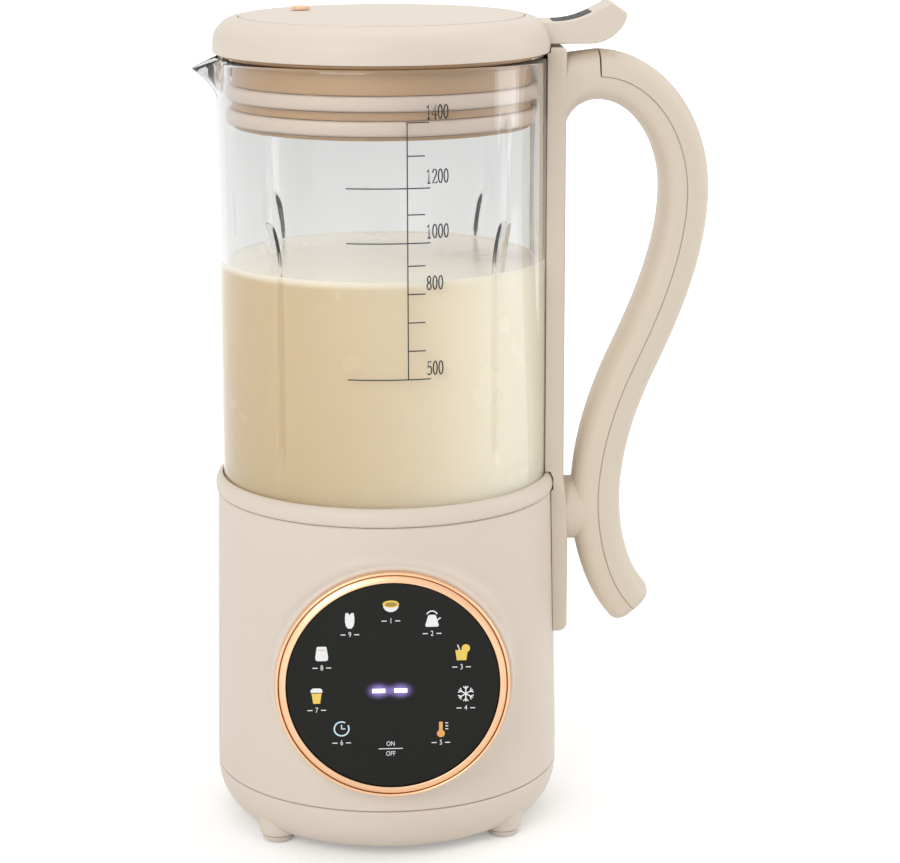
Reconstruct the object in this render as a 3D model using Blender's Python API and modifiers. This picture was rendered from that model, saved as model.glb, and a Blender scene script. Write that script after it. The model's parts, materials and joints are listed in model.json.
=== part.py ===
"""A nut milk maker with a glass jug, modelled at its real size in metres, +Z up.

The touch panel faces -Y, the handle stands on +X and the spout points to -X. Sizes are measured
from the upright axis that jug, base and motor share, and from the surface the feet stand on.
The empty machine_axis carries every piece and puts the middle of the whole over the origin.
"""

import math

import bmesh
import bpy
from mathutils import Matrix, Vector
from mathutils.geometry import interpolate_bezier

# Clearances and facets
GAP = 0.0003
GLASS_GAP = 0.0005
RUNNING_GAP = 0.0004
OVERRUN = 0.003
WELD = 0.00001
TURN_STEPS = 32
INNER_STEPS = 20
MOTOR_STEPS = 16
PIN_STEPS = 8

# Base housing
BASE_SEAT_WALL = 0.0022
BASE_FLARE = 0.0020
BASE_STRAIGHT_TOP = 0.0300
BASE_HEIGHT = 0.1254
BASE_WALL = 0.0024
GASKET_FOOT = 0.0018
DECK_THICKNESS = 0.0024
DECK_LIP = 0.0128

# Bottom cover, its lugs and the feet
COVER_HEIGHT = 0.0200
COVER_UNDERSIDE = 0.0025
COVER_INSET = 0.0132
COVER_WALL = 0.0022
SPIGOT_HEIGHT = 0.0030
SPIGOT_WALL = 0.0018
VENT_COUNT = 8
VENT_WIDTH = 0.0030
VENT_LENGTH = 0.0150
VENT_INSET = 0.0240
LUG_INSET = 0.0097
LUG_ANGLE = 40.0
LUG_RADIUS = 0.0070
LUG_HEIGHT = 0.0160
LUG_SEAT = 0.0090
POST_RADIUS = 0.0045
POST_TOP = 0.0450
POST_RIB_WIDTH = 0.0024
PAD_HEIGHT = 0.0020
PAD_RADIUS = 0.0058
PAD_STEM_RADIUS = 0.0032
PAD_STEM_HEIGHT = 0.0035
SCREW_HEAD_RADIUS = 0.0031
SCREW_HEAD_HEIGHT = 0.0022
SCREW_RADIUS = 0.0016
BASE_SCREW_LENGTH = 0.0220

# Touch panel
PANEL_MARGIN = 0.01085
PANEL_DROP = 0.00315
PANEL_PROUD = 0.0053
PANEL_RING_WIDTH = 0.0037
PANEL_RING_DEPTH = 0.0032
PANEL_RING_LEDGE = 0.0012
PANEL_GLASS_THICKNESS = 0.0016
PANEL_GLASS_SET_BACK = 0.0006
PANEL_BOSS_MARGIN = 0.0016
PANEL_BOSS_FLARE = 0.0016
PANEL_BOSS_EDGE = 0.0012
PANEL_BOSS_WALL = 0.0026
PANEL_FRAME_WALL = 0.0018
PANEL_BOARD_THICKNESS = 0.0016

# Power inlet, at the back
INLET_PAD_LIFT = 0.0032
INLET_PAD_MARGIN = 0.0015
INLET_PAD_PROUD = 0.0008
INLET_PAD_SINK = 0.0052
INLET_FLANGE_SIDE = 0.0022
INLET_FLANGE_END = 0.0030
INLET_FLANGE_THICKNESS = 0.0016
INLET_BODY_WIDTH = 0.0276
INLET_BODY_HEIGHT = 0.0200
INLET_BODY_DEPTH = 0.0180
INLET_WALL = 0.0016
PIN_WIDTH = 0.0040
PIN_THICKNESS = 0.0020
PIN_LENGTH = 0.0110
PIN_SPREAD = 0.0070
PIN_RISE = 0.0020

# Power board, behind the motor
BOARD_WIDTH = 0.0600
BOARD_LIFT = 0.0040
BOARD_DROP = 0.0081
BOARD_INSET = 0.0177
BOARD_THICKNESS = 0.0016
BOARD_RAIL_SPREAD = 0.0260
BOARD_RAIL_INSET = 0.0100
BOARD_RAIL_WIDTH = 0.0024
RELAY_SIZE = (0.0170, 0.0140, 0.0150)
TRANSFORMER_SIZE = (0.0180, 0.0140, 0.0170)
CAPACITOR_RADIUS = 0.0055
CAPACITOR_LENGTH = 0.0140
COMPONENT_SPREAD = 0.0200

# Glass jug
JUG_RADIUS = 0.0600
JUG_WALL = 0.0032
JUG_SEAT_DEPTH = 0.0032
JUG_HEIGHT = 0.1635
RIB_COUNT = 4
RIB_ANGLE = 41.0
RIB_HALF_WIDTH = 0.0028
RIB_DEPTH = 0.0030
RIB_FOOT_HEIGHT = 0.0225
RIB_TOP_CLEARANCE = 0.0212
RIB_EASE = 0.0070
RIB_COLUMN_SHARES = (-1.0, -0.5, 0.0, 0.5, 1.0)
SPOUT_REACH = 0.0089
SPOUT_HALF_WIDTH = 0.0155
SPOUT_HEIGHT = 0.0145
SPOUT_DIP = 0.0045
SPOUT_COLUMN_SHARES = (-1.0, -0.75, -0.45, -0.2, 0.2, 0.45, 0.75, 1.0)
SPOUT_ROW_SHARES = (0.0, 0.4, 0.75, 1.0)

# Collar and gasket between jug and base
COLLAR_WALL = 0.0030
COLLAR_HEIGHT = 0.0066
COLLAR_LOWER_CURVE = 0.0022
GASKET_WALL = 0.0010
GASKET_HEIGHT = 0.0068

# Heating plate and what passes through it
PLATE_THICKNESS = 0.0010
PLATE_RISE = 0.0098
PLATE_DISH = 0.0016
PLATE_CORNER = 0.0025
PLATE_HUB_RADIUS = 0.0082
ELEMENT_INSET = 0.0080
ELEMENT_TUBE_RADIUS = 0.0032
ELEMENT_OPEN_ANGLE = 36.0
ELEMENT_LEG = 0.0030
ELEMENT_BENDS = 18
SENSOR_RADIUS = 0.0030
SENSOR_INSET = 0.0120
SENSOR_ANGLE = 135.0
SENSOR_DOME = 0.0030
SENSOR_TAIL = 0.0080
SEAL_FLANGE = 0.0018
SEAL_FLANGE_THICKNESS = 0.0014
SEAL_LENGTH = 0.0060

# Motor
SHAFT_RADIUS = 0.0040
SHAFT_STUB = 0.0015
SHAFT_THREAD_END = 0.0026
BEARING_RADIUS = 0.0110
BEARING_WIDTH = 0.0070
BRACKET_INSET = 0.0102
BRACKET_THICKNESS = 0.0030
BRACKET_HUB_WALL = 0.0022
BRACKET_WINDOW_RADIUS = 0.0070
BRACKET_WINDOW_COUNT = 4
BRACKET_LEG_WIDTH = 0.0080
BRACKET_LEG_THICKNESS = 0.0040
LOWER_BRACKET_WIDTH = 0.0220
LOWER_BRACKET_THICKNESS = 0.0036
FAN_HEAD_ROOM = 0.0048
MOTOR_CLEARANCE = 0.0005
COMMUTATOR_CLEARANCE = 0.0021
WINDING_CLEARANCE = 0.0061
ARMATURE_RADIUS_SHARE = 0.5375
AIR_GAP = 0.0006
ARMATURE_TEETH = 12
ARMATURE_TOOTH_SHARE = 0.64
ARMATURE_SLOT_DEPTH_SHARE = 0.35
COIL_BACK = 0.0018
COIL_OUTER_RADIUS_SHARE = 0.78125
COIL_SPAN = 75.0
COIL_LIMB_ANGLE = 15.0
COIL_END_HEIGHT = 0.0064
WINDING_HEIGHT = 0.0064
WINDING_INSET = 0.0020
WINDING_ROUND = 0.0021
COMMUTATOR_RADIUS_SHARE = 0.64
COMMUTATOR_HEIGHT = 0.0125
BRUSH_WIDTH = 0.0090
BRUSH_END_ROOM = 0.0016
FAN_CLEARANCE = 0.0120
FAN_HUB_RADIUS = 0.0080
FAN_BLADES = 9
FAN_BLADE_THICKNESS = 0.0014
FAN_BLADE_START = 0.0060
FAN_PLATE_THICKNESS = 0.0014
FAN_HEIGHT = 0.0130
FAN_FLOOR_GAP = 0.0053

# Blades in the jug
BLADE_THICKNESS = 0.0013
BLADE_ROOT_WIDTH = 0.0110
BLADE_TIP_WIDTH = 0.0050
LOWER_BLADE_REACH = 0.0300
LOWER_BLADE_DROOP = 0.0020
UPPER_BLADE_REACH = 0.0250
UPPER_BLADE_LIFT = 0.0110
BLADE_FLOOR_GAP = 0.0050
BLADE_HUB_SHARE = 0.34
BLADE_ARM_SHARES = (0.62, 0.9, 1.0)
BLADE_SPACER_RADIUS = 0.0065
BLADE_SPACER_HEIGHT = 0.0058
NUT_ACROSS = 0.0130
NUT_HEIGHT = 0.0070

# Handle and its spine
SPINE_THICKNESS = 0.0059
SPINE_HALF_WIDTH = 0.0128
SPINE_TOP_ABOVE_RIM = 0.0029
SPINE_STEP = 0.0016
SPINE_STEP_RISE = 0.0056
SPINE_STEP_FALL = 0.0074
SPINE_FOOT_DROP = 0.0549
SPINE_CORNER = 0.0030
SPINE_EDGE = 0.0016
HANDLE_THICKNESS = 0.0180
HANDLE_HALF_WIDTH = 0.0125
HANDLE_SQUARENESS = 2.8
HANDLE_STATIONS = 7
HANDLE_SECTION_POINTS = 16
HANDLE_TOP_DROP = 0.0105
HANDLE_START_OUT = 0.0119
HANDLE_REACH = 0.0533
HANDLE_BULGE_DROP = 0.0526
HANDLE_BEND_OUT = 0.0261
HANDLE_BEND_DROP = 0.1161
HANDLE_BEND_LEAN = 25.0
HANDLE_WAIST_OUT = 0.0130
HANDLE_WAIST_RISE = 0.0047
HANDLE_TIP_OUT = 0.0250
HANDLE_TIP_DROP = 0.0354
HANDLE_TIP_LEAN = 41.0
HANDLE_TIP_ROUND = 0.0045
HANDLE_TIP_SHARES = (0.6, 0.85, 0.97)
ARCH_EASE_SHARE = 0.55
SWEEP_EASE_SHARE = 0.34
BRIDGE_SHARES = (-0.2, 0.0, 0.12, 0.35, 0.65, 1.0)
BRIDGE_SHOULDER_DROP = 0.0014
BRIDGE_FILLET = 0.0118
BOSS_DROP = 0.0096
BOSS_RADIUS = 0.0119
BOSS_SINK = 0.0030
HANDLE_SCREW_DROP = 0.0048
HANDLE_SCREW_LENGTH = 0.0150
LOWER_SCREW_RISE = 0.0115
LOWER_SCREW_LENGTH = 0.0060
REED_RADIUS = 0.0016
REED_LENGTH = 0.0160
REED_DROP = 0.0046

# Lid
LID_OVERLAP = 0.0009
LID_SKIRT_ABOVE_RIM = 0.0014
LID_HEIGHT = 0.0126
LID_SKIRT_HEIGHT = 0.0032
LID_WALL = 0.0022
LID_DECK = 0.0018
LID_SHOULDER = 0.0093
LID_DISC_RECESS = 0.0013
LID_DISC_CROWN = 0.0009
DISC_CROWN_SHARES = (0.5, 0.75)
PLUG_CLEARANCE = 0.0028
PLUG_WALL = 0.0022
PLUG_DEPTH = 0.0248
PLUG_FLOOR = 0.0020
PLUG_FLANGE_THICKNESS = 0.0014
RING_GROOVE = 0.0014
RING_HEIGHT = 0.0052
RING_LIP = 0.0010
UPPER_RING_DROP = 0.0095
LOWER_RING_DROP = 0.0180
VENT_PLACE = (-0.0290, 0.0140)
VENT_HOLE_RADIUS = 0.0026
VENT_CAP_RADIUS = 0.0035
VENT_CAP_HEIGHT = 0.0014
VENT_CAP_SHOULDER_SHARES = (0.75, 0.4)
VENT_STEM_LENGTH = 0.0056
TAB_HALF_WIDTH = 0.0105
TAB_ROOT_MARGIN = 0.0006
TAB_CLEAR_OF_SPINE = 0.0011
TAB_STEP = 0.0008
TAB_REACH = 0.0277
TAB_FLAT = 0.0147
TAB_TIP_RISE = 0.0108
TAB_PEAK_RISE = 0.0148
TAB_PEAK_BACK = 0.0055
TAB_DISH_START = 0.0015
TAB_STEEP_SHARES = (0.25, 0.33)
TAB_LEVEL_SHARE = 0.5
TAB_EDGE = 0.0014
GRIP_START = 0.0015
GRIP_END = 0.0150
GRIP_HALF_WIDTH = 0.0070
GRIP_THICKNESS = 0.0009
MAGNET_RADIUS = 0.0040
MAGNET_THICKNESS = 0.0030
MAGNET_REACH = 0.0065

# Heights, radii and places that follow from the sizes above
JUG_BORE = JUG_RADIUS - JUG_WALL
BASE_TOP_RADIUS = JUG_RADIUS + BASE_SEAT_WALL
BASE_FOOT_RADIUS = BASE_TOP_RADIUS + BASE_FLARE
JUG_FOOT = BASE_HEIGHT - JUG_SEAT_DEPTH
DECK_TOP = JUG_FOOT - GASKET_FOOT - PLATE_THICKNESS - 3 * GAP
DECK_UNDERSIDE = DECK_TOP - DECK_THICKNESS
DECK_HOLE_RADIUS = JUG_BORE - DECK_LIP
JUG_RIM = JUG_FOOT + JUG_HEIGHT
RIB_TOP_HEIGHT = JUG_HEIGHT - PLUG_DEPTH - RIB_TOP_CLEARANCE
COLLAR_RADIUS = JUG_RADIUS + COLLAR_WALL
COLLAR_FOOT = BASE_HEIGHT + GAP
COLLAR_TOP = COLLAR_FOOT + COLLAR_HEIGHT
COVER_FLOOR_TOP = COVER_UNDERSIDE + COVER_WALL
COVER_FLOOR_RADIUS = BASE_FOOT_RADIUS - COVER_INSET
HOUSING_BOTTOM = COVER_HEIGHT + GAP
LUG_CIRCLE = BASE_FOOT_RADIUS - LUG_INSET
VENT_MIDDLE_RADIUS = COVER_FLOOR_RADIUS - VENT_INSET
PANEL_HEIGHT = (BASE_HEIGHT + HOUSING_BOTTOM) / 2 - PANEL_DROP
PANEL_RING_RADIUS = (BASE_HEIGHT - HOUSING_BOTTOM) / 2 - PANEL_MARGIN
PANEL_FACE = BASE_FOOT_RADIUS + PANEL_PROUD
PANEL_BOSS_FACE = PANEL_FACE - PANEL_RING_DEPTH - GAP
INLET_FLANGE_WIDTH = INLET_BODY_WIDTH + 2 * INLET_FLANGE_SIDE
INLET_FLANGE_HEIGHT = INLET_BODY_HEIGHT + 2 * INLET_FLANGE_END
INLET_PAD_WIDTH = INLET_FLANGE_WIDTH + 2 * INLET_PAD_MARGIN
INLET_PAD_HEIGHT = INLET_FLANGE_HEIGHT + 2 * INLET_PAD_MARGIN
INLET_HEIGHT = HOUSING_BOTTOM + INLET_PAD_LIFT + INLET_PAD_HEIGHT / 2
INLET_PAD_FACE = BASE_FOOT_RADIUS + INLET_PAD_PROUD
INLET_PAD_BACK = BASE_FOOT_RADIUS - INLET_PAD_SINK
INLET_FACE = INLET_PAD_FACE + GAP + INLET_FLANGE_THICKNESS
BOARD_DEPTH = BASE_FOOT_RADIUS - BOARD_INSET
BOARD_BOTTOM = INLET_HEIGHT + INLET_BODY_HEIGHT / 2 + BOARD_LIFT
BOARD_TOP = DECK_UNDERSIDE - BOARD_DROP
PLATE_FOOT = DECK_TOP + GAP
PLATE_TOP = PLATE_FOOT + PLATE_RISE
GASKET_BORE = JUG_BORE - GLASS_GAP - GASKET_WALL
PLATE_SKIRT_RADIUS = GASKET_BORE - 2 * GAP
ELEMENT_RADIUS = DECK_HOLE_RADIUS - ELEMENT_INSET
SENSOR_PLACE = ELEMENT_RADIUS - SENSOR_INSET
BLADE_STACK = BLADE_FLOOR_GAP + 2 * BLADE_THICKNESS + BLADE_SPACER_HEIGHT + NUT_HEIGHT + 3 * GAP
SHAFT_TOP = PLATE_TOP + BLADE_STACK + SHAFT_THREAD_END
FAN_BOTTOM = COVER_FLOOR_TOP + FAN_FLOOR_GAP
SHAFT_BOTTOM = FAN_BOTTOM - SHAFT_STUB
LOWER_BRACKET_TOP = FAN_BOTTOM + FAN_HEIGHT + FAN_HEAD_ROOM + BEARING_WIDTH + LOWER_BRACKET_THICKNESS
BRACKET_RADIUS = BASE_TOP_RADIUS - BRACKET_INSET
BRACKET_TOP = DECK_UNDERSIDE - GAP
BRACKET_UNDERSIDE = BRACKET_TOP - BRACKET_THICKNESS
STATOR_RADIUS = BOARD_DEPTH - RELAY_SIZE[1] - MOTOR_CLEARANCE
STATOR_BOTTOM = LOWER_BRACKET_TOP + COMMUTATOR_CLEARANCE + COMMUTATOR_HEIGHT + WINDING_HEIGHT + 2 * GAP
STATOR_TOP = BRACKET_UNDERSIDE - BEARING_WIDTH - WINDING_CLEARANCE - WINDING_HEIGHT - GAP
STATOR_HEIGHT = STATOR_TOP - STATOR_BOTTOM
ARMATURE_RADIUS = STATOR_RADIUS * ARMATURE_RADIUS_SHARE
ARMATURE_SLOT_DEPTH = ARMATURE_RADIUS * ARMATURE_SLOT_DEPTH_SHARE
COIL_INNER_RADIUS = ARMATURE_RADIUS + COIL_BACK
COIL_OUTER_RADIUS = STATOR_RADIUS * COIL_OUTER_RADIUS_SHARE
WINDING_RADIUS = ARMATURE_RADIUS - WINDING_INSET
COMMUTATOR_RADIUS = ARMATURE_RADIUS * COMMUTATOR_RADIUS_SHARE
FAN_RADIUS = LUG_CIRCLE - POST_RADIUS - FAN_CLEARANCE
FAN_BLADE_INNER = FAN_HUB_RADIUS + FAN_BLADE_START
SPINE_FACE = JUG_RADIUS + SPINE_THICKNESS
SPINE_TOP = JUG_RIM + SPINE_TOP_ABOVE_RIM
SPINE_STEP_TOP = BASE_HEIGHT + SPINE_STEP_RISE
SPINE_STEP_BOTTOM = BASE_HEIGHT - SPINE_STEP_FALL
SPINE_BOTTOM = BASE_HEIGHT - SPINE_FOOT_DROP
BOSS_HEIGHT = BASE_HEIGHT - BOSS_DROP
HANDLE_SCREW_HEIGHT = BOSS_HEIGHT - HANDLE_SCREW_DROP
LOWER_SCREW_HEIGHT = SPINE_BOTTOM + LOWER_SCREW_RISE
HANDLE_OUT = SPINE_FACE + HANDLE_REACH
LID_RADIUS = JUG_RADIUS + LID_OVERLAP
LID_DISC_RADIUS = LID_RADIUS - LID_SHOULDER
LID_FOOT = JUG_RIM + LID_SKIRT_ABOVE_RIM
LID_EDGE = LID_FOOT + LID_HEIGHT
LID_DECK_TOP = LID_EDGE - LID_DISC_RECESS
LID_DECK_UNDERSIDE = LID_DECK_TOP - LID_DECK
DISC_TOP = LID_EDGE + GAP
PLUG_RADIUS = JUG_BORE - PLUG_CLEARANCE
PLUG_FLANGE_RADIUS = LID_RADIUS - LID_WALL - RUNNING_GAP
TAB_UNDERSIDE = SPINE_TOP + TAB_CLEAR_OF_SPINE
TAB_ROOT = LID_RADIUS - LID_WALL + TAB_ROOT_MARGIN
TAB_ROOT_TOP = (LID_RADIUS + LID_DISC_RADIUS) / 2 - LID_WALL
TAB_THICKNESS = LID_DECK_TOP - TAB_STEP - TAB_UNDERSIDE
MAGNET_PLACE = JUG_RADIUS + MAGNET_REACH
SPOUT_OUT = JUG_RADIUS + SPOUT_REACH
AXIS_PLACE = ((SPOUT_OUT - HANDLE_OUT) / 2, (PANEL_FACE - INLET_FACE) / 2, 0.0)

# Finishes: colour, roughness, metallic, alpha
FINISHES = {
    "cream plastic": ((0.86, 0.79, 0.71), 0.42, 0.0, 1.0),
    "tan plastic": ((0.72, 0.56, 0.42), 0.45, 0.0, 1.0),
    "pale silicone": ((0.84, 0.77, 0.71), 0.60, 0.0, 1.0),
    "black glass": ((0.02, 0.02, 0.02), 0.12, 0.0, 1.0),
    "black plastic": ((0.04, 0.04, 0.04), 0.50, 0.0, 1.0),
    "rose gold": ((0.93, 0.66, 0.45), 0.25, 1.0, 1.0),
    "clear glass": ((0.90, 0.93, 0.92), 0.04, 0.0, 0.30),
    "foot rubber": ((0.80, 0.77, 0.72), 0.80, 0.0, 1.0),
    "rubber": ((0.16, 0.15, 0.14), 0.85, 0.0, 1.0),
    "grey rubber": ((0.32, 0.32, 0.33), 0.75, 0.0, 1.0),
    "steel": ((0.70, 0.70, 0.69), 0.28, 1.0, 1.0),
    "aluminium": ((0.75, 0.75, 0.76), 0.40, 1.0, 1.0),
    "copper": ((0.72, 0.36, 0.20), 0.40, 1.0, 1.0),
    "lamination": ((0.30, 0.30, 0.31), 0.55, 0.8, 1.0),
    "circuit board": ((0.05, 0.25, 0.12), 0.50, 0.0, 1.0),
    "white plastic": ((0.85, 0.85, 0.83), 0.45, 0.0, 1.0),
    "peach plastic": ((0.93, 0.76, 0.60), 0.45, 0.0, 1.0),
}

parts = None
cutters = None
machine_axis = None


def clear_scene():
    for obj in list(bpy.data.objects):
        bpy.data.objects.remove(obj, do_unlink=True)


def prepare_collections():
    global parts, cutters, machine_axis
    parts = bpy.data.collections.new("nut_milk_maker")
    cutters = bpy.data.collections.new("cutters")
    for collection in (parts, cutters):
        bpy.context.scene.collection.children.link(collection)
    machine_axis = bpy.data.objects.new("machine_axis", None)
    machine_axis.location = AXIS_PLACE
    parts.objects.link(machine_axis)


def finish_material(name, finish):
    colour, roughness, metallic, alpha = FINISHES[finish]
    made = bpy.data.materials.new(name)
    made.use_nodes = True
    shader = made.node_tree.nodes["Principled BSDF"]
    shader.inputs["Base Color"].default_value = (*colour, 1.0)
    shader.inputs["Roughness"].default_value = roughness
    shader.inputs["Metallic"].default_value = metallic
    shader.inputs["Alpha"].default_value = alpha
    made.diffuse_color = (*colour, alpha)
    return made


def place(name, mesh, finish, at=(0.0, 0.0, 0.0), turn=(0.0, 0.0, 0.0)):
    """A piece with its finish, or a helper shape where finish is None."""
    obj = bpy.data.objects.new(name, mesh)
    obj.parent = machine_axis
    obj.location = at
    obj.rotation_euler = [math.radians(angle) for angle in turn]
    if finish is None:
        cutters.objects.link(obj)
        obj.hide_render = True
        obj.display_type = "WIRE"
        return obj
    parts.objects.link(obj)
    mesh.materials.append(finish_material(name, finish))
    return obj


def smooth(mesh, angle=35.0):
    mesh.shade_smooth()
    mesh.set_sharp_from_angle(angle=math.radians(angle))


def arc(centre, radii, start, end, steps):
    """Points of an elliptical arc between two angles in degrees, 0 pointing out and 90 up."""
    points = []
    for index in range(steps + 1):
        angle = math.radians(start + (end - start) * index / steps)
        points.append((centre[0] + radii[0] * math.cos(angle), centre[1] + radii[1] * math.sin(angle)))
    return points


def turned(name, profile, finish, steps=TURN_STEPS, at=(0.0, 0.0, 0.0), turn=(0.0, 0.0, 0.0)):
    """A turned piece. The profile holds (radius, height) and runs down its outer side."""
    shape = bmesh.new()
    points = [shape.verts.new((radius, 0.0, height)) for radius, height in profile]
    for first, second in zip(points, points[1:]):
        shape.edges.new((first, second))
    if profile[0][0] > 0.0:
        shape.edges.new((points[-1], points[0]))
    mesh = bpy.data.meshes.new(name)
    shape.to_mesh(mesh)
    shape.free()
    obj = place(name, mesh, finish, at, turn)
    screw = obj.modifiers.new("Turn", "SCREW")
    screw.steps = steps
    screw.render_steps = steps
    screw.use_merge_vertices = True
    screw.merge_threshold = WELD
    screw.use_smooth_shade = True
    return obj


def rod(name, radius, bottom, top, finish, steps=PIN_STEPS, at=(0.0, 0.0, 0.0), turn=(0.0, 0.0, 0.0)):
    shape = bmesh.new()
    middle = Matrix.Translation((0.0, 0.0, (bottom + top) / 2))
    bmesh.ops.create_cone(
        shape, cap_ends=True, segments=steps, radius1=radius, radius2=radius, depth=top - bottom, matrix=middle
    )
    mesh = bpy.data.meshes.new(name)
    shape.to_mesh(mesh)
    shape.free()
    smooth(mesh)
    return place(name, mesh, finish, at, turn)


def block_mesh(name, corners):
    """One mesh with a box between each pair of opposite corners."""
    shape = bmesh.new()
    for low, high in corners:
        low, high = Vector(low), Vector(high)
        size = Matrix.Diagonal((*(high - low), 1.0))
        bmesh.ops.create_cube(shape, size=1.0, matrix=Matrix.Translation((low + high) / 2) @ size)
    mesh = bpy.data.meshes.new(name)
    shape.to_mesh(mesh)
    shape.free()
    return mesh


def block(name, low, high, finish, edge=0.0, at=(0.0, 0.0, 0.0), turn=(0.0, 0.0, 0.0)):
    obj = place(name, block_mesh(name, [(low, high)]), finish, at, turn)
    if edge:
        bevel_edges(obj, edge)
    return obj


def bevel_edges(obj, width, segments=2, angle=50.0):
    bevel = obj.modifiers.new("Rounded edges", "BEVEL")
    bevel.width = width
    bevel.segments = segments
    bevel.limit_method = "ANGLE"
    bevel.angle_limit = math.radians(angle)
    return bevel


def outline_mesh(name, outlines, thickness):
    """A flat plate with the first outline as its edge and any others as its holes."""
    curve = bpy.data.curves.new(name, "CURVE")
    curve.dimensions = "2D"
    curve.fill_mode = "BOTH"
    curve.extrude = thickness / 2
    for outline in outlines:
        spline = curve.splines.new("POLY")
        spline.points.add(len(outline) - 1)
        for point, (across, up) in zip(spline.points, outline):
            point.co = (across, up, 0.0, 1.0)
        spline.use_cyclic_u = True
    holder = bpy.data.objects.new(name, curve)
    bpy.context.scene.collection.objects.link(holder)
    graph = bpy.context.evaluated_depsgraph_get()
    mesh = bpy.data.meshes.new_from_object(holder.evaluated_get(graph))
    mesh.name = name
    bpy.data.objects.remove(holder, do_unlink=True)
    bpy.data.curves.remove(curve)
    shape = bmesh.new()
    shape.from_mesh(mesh)
    bmesh.ops.remove_doubles(shape, verts=shape.verts, dist=WELD)
    bmesh.ops.recalc_face_normals(shape, faces=shape.faces)
    shape.to_mesh(mesh)
    shape.free()
    smooth(mesh)
    return mesh


def prism_mesh(name, outline, thickness):
    """A plate of one outline with a single face on either side, whose edges can be rounded."""
    shape = bmesh.new()
    rows = [[shape.verts.new((across, up, side * thickness / 2)) for across, up in outline] for side in (-1, 1)]
    for row in rows:
        shape.faces.new(row)
    for index in range(len(outline)):
        after = (index + 1) % len(outline)
        shape.faces.new((rows[0][index], rows[0][after], rows[1][after], rows[1][index]))
    bmesh.ops.recalc_face_normals(shape, faces=shape.faces)
    mesh = bpy.data.meshes.new(name)
    shape.to_mesh(mesh)
    shape.free()
    smooth(mesh)
    return mesh


def loft(name, rings, finish, closed=False, at=(0.0, 0.0, 0.0), turn=(0.0, 0.0, 0.0)):
    """A skin over rings of equal count, capped at both ends unless the last meets the first."""
    shape = bmesh.new()
    rows = [[shape.verts.new(point) for point in ring] for ring in rings]
    pairs = list(zip(rows, rows[1:]))
    if closed:
        pairs.append((rows[-1], rows[0]))
    for row, following in pairs:
        for index in range(len(row)):
            after = (index + 1) % len(row)
            shape.faces.new((row[index], row[after], following[after], following[index]))
    if not closed:
        shape.faces.new(rows[0])
        shape.faces.new(rows[-1])
    bmesh.ops.recalc_face_normals(shape, faces=shape.faces)
    mesh = bpy.data.meshes.new(name)
    shape.to_mesh(mesh)
    shape.free()
    smooth(mesh)
    return place(name, mesh, finish, at, turn)


def combine(obj, other, operation):
    step = obj.modifiers.new(operation.title() + " " + other.name, "BOOLEAN")
    step.operation = operation
    step.solver = "EXACT"
    step.object = other
    return obj


def join(obj, other):
    return combine(obj, other, "UNION")


def cut(obj, other):
    return combine(obj, other, "DIFFERENCE")


def around(radius, degrees, height=0.0):
    angle = math.radians(degrees)
    return (radius * math.cos(angle), radius * math.sin(angle), height)


def base_radius(height):
    """Outer radius of the housing, which draws in from the straight foot to its top."""
    rise = max(0.0, height - BASE_STRAIGHT_TOP) / (BASE_HEIGHT - BASE_STRAIGHT_TOP)
    return BASE_FOOT_RADIUS + (BASE_TOP_RADIUS - BASE_FOOT_RADIUS) * rise


def corner_places():
    return {
        "front_right": -LUG_ANGLE,
        "rear_right": LUG_ANGLE,
        "rear_left": 180.0 - LUG_ANGLE,
        "front_left": LUG_ANGLE - 180.0,
    }


def make_base_housing():
    seat_bore = JUG_RADIUS + GLASS_GAP
    inner_foot = BASE_FOOT_RADIUS - BASE_WALL
    profile = [
        (BASE_TOP_RADIUS, BASE_HEIGHT),
        (BASE_FOOT_RADIUS, BASE_STRAIGHT_TOP),
        (BASE_FOOT_RADIUS, HOUSING_BOTTOM),
        (inner_foot, HOUSING_BOTTOM),
        (inner_foot, BASE_STRAIGHT_TOP),
        (base_radius(DECK_UNDERSIDE) - BASE_WALL, DECK_UNDERSIDE),
        (DECK_HOLE_RADIUS, DECK_UNDERSIDE),
        (DECK_HOLE_RADIUS, DECK_TOP),
        (seat_bore, DECK_TOP),
        (seat_bore, BASE_HEIGHT),
    ]
    housing = turned("base_housing", profile, "cream plastic")
    add_panel_boss(housing)
    add_screw_posts(housing)
    add_inlet_pad(housing)
    add_board_rails(housing)
    add_handle_screw_holes(housing)


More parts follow.
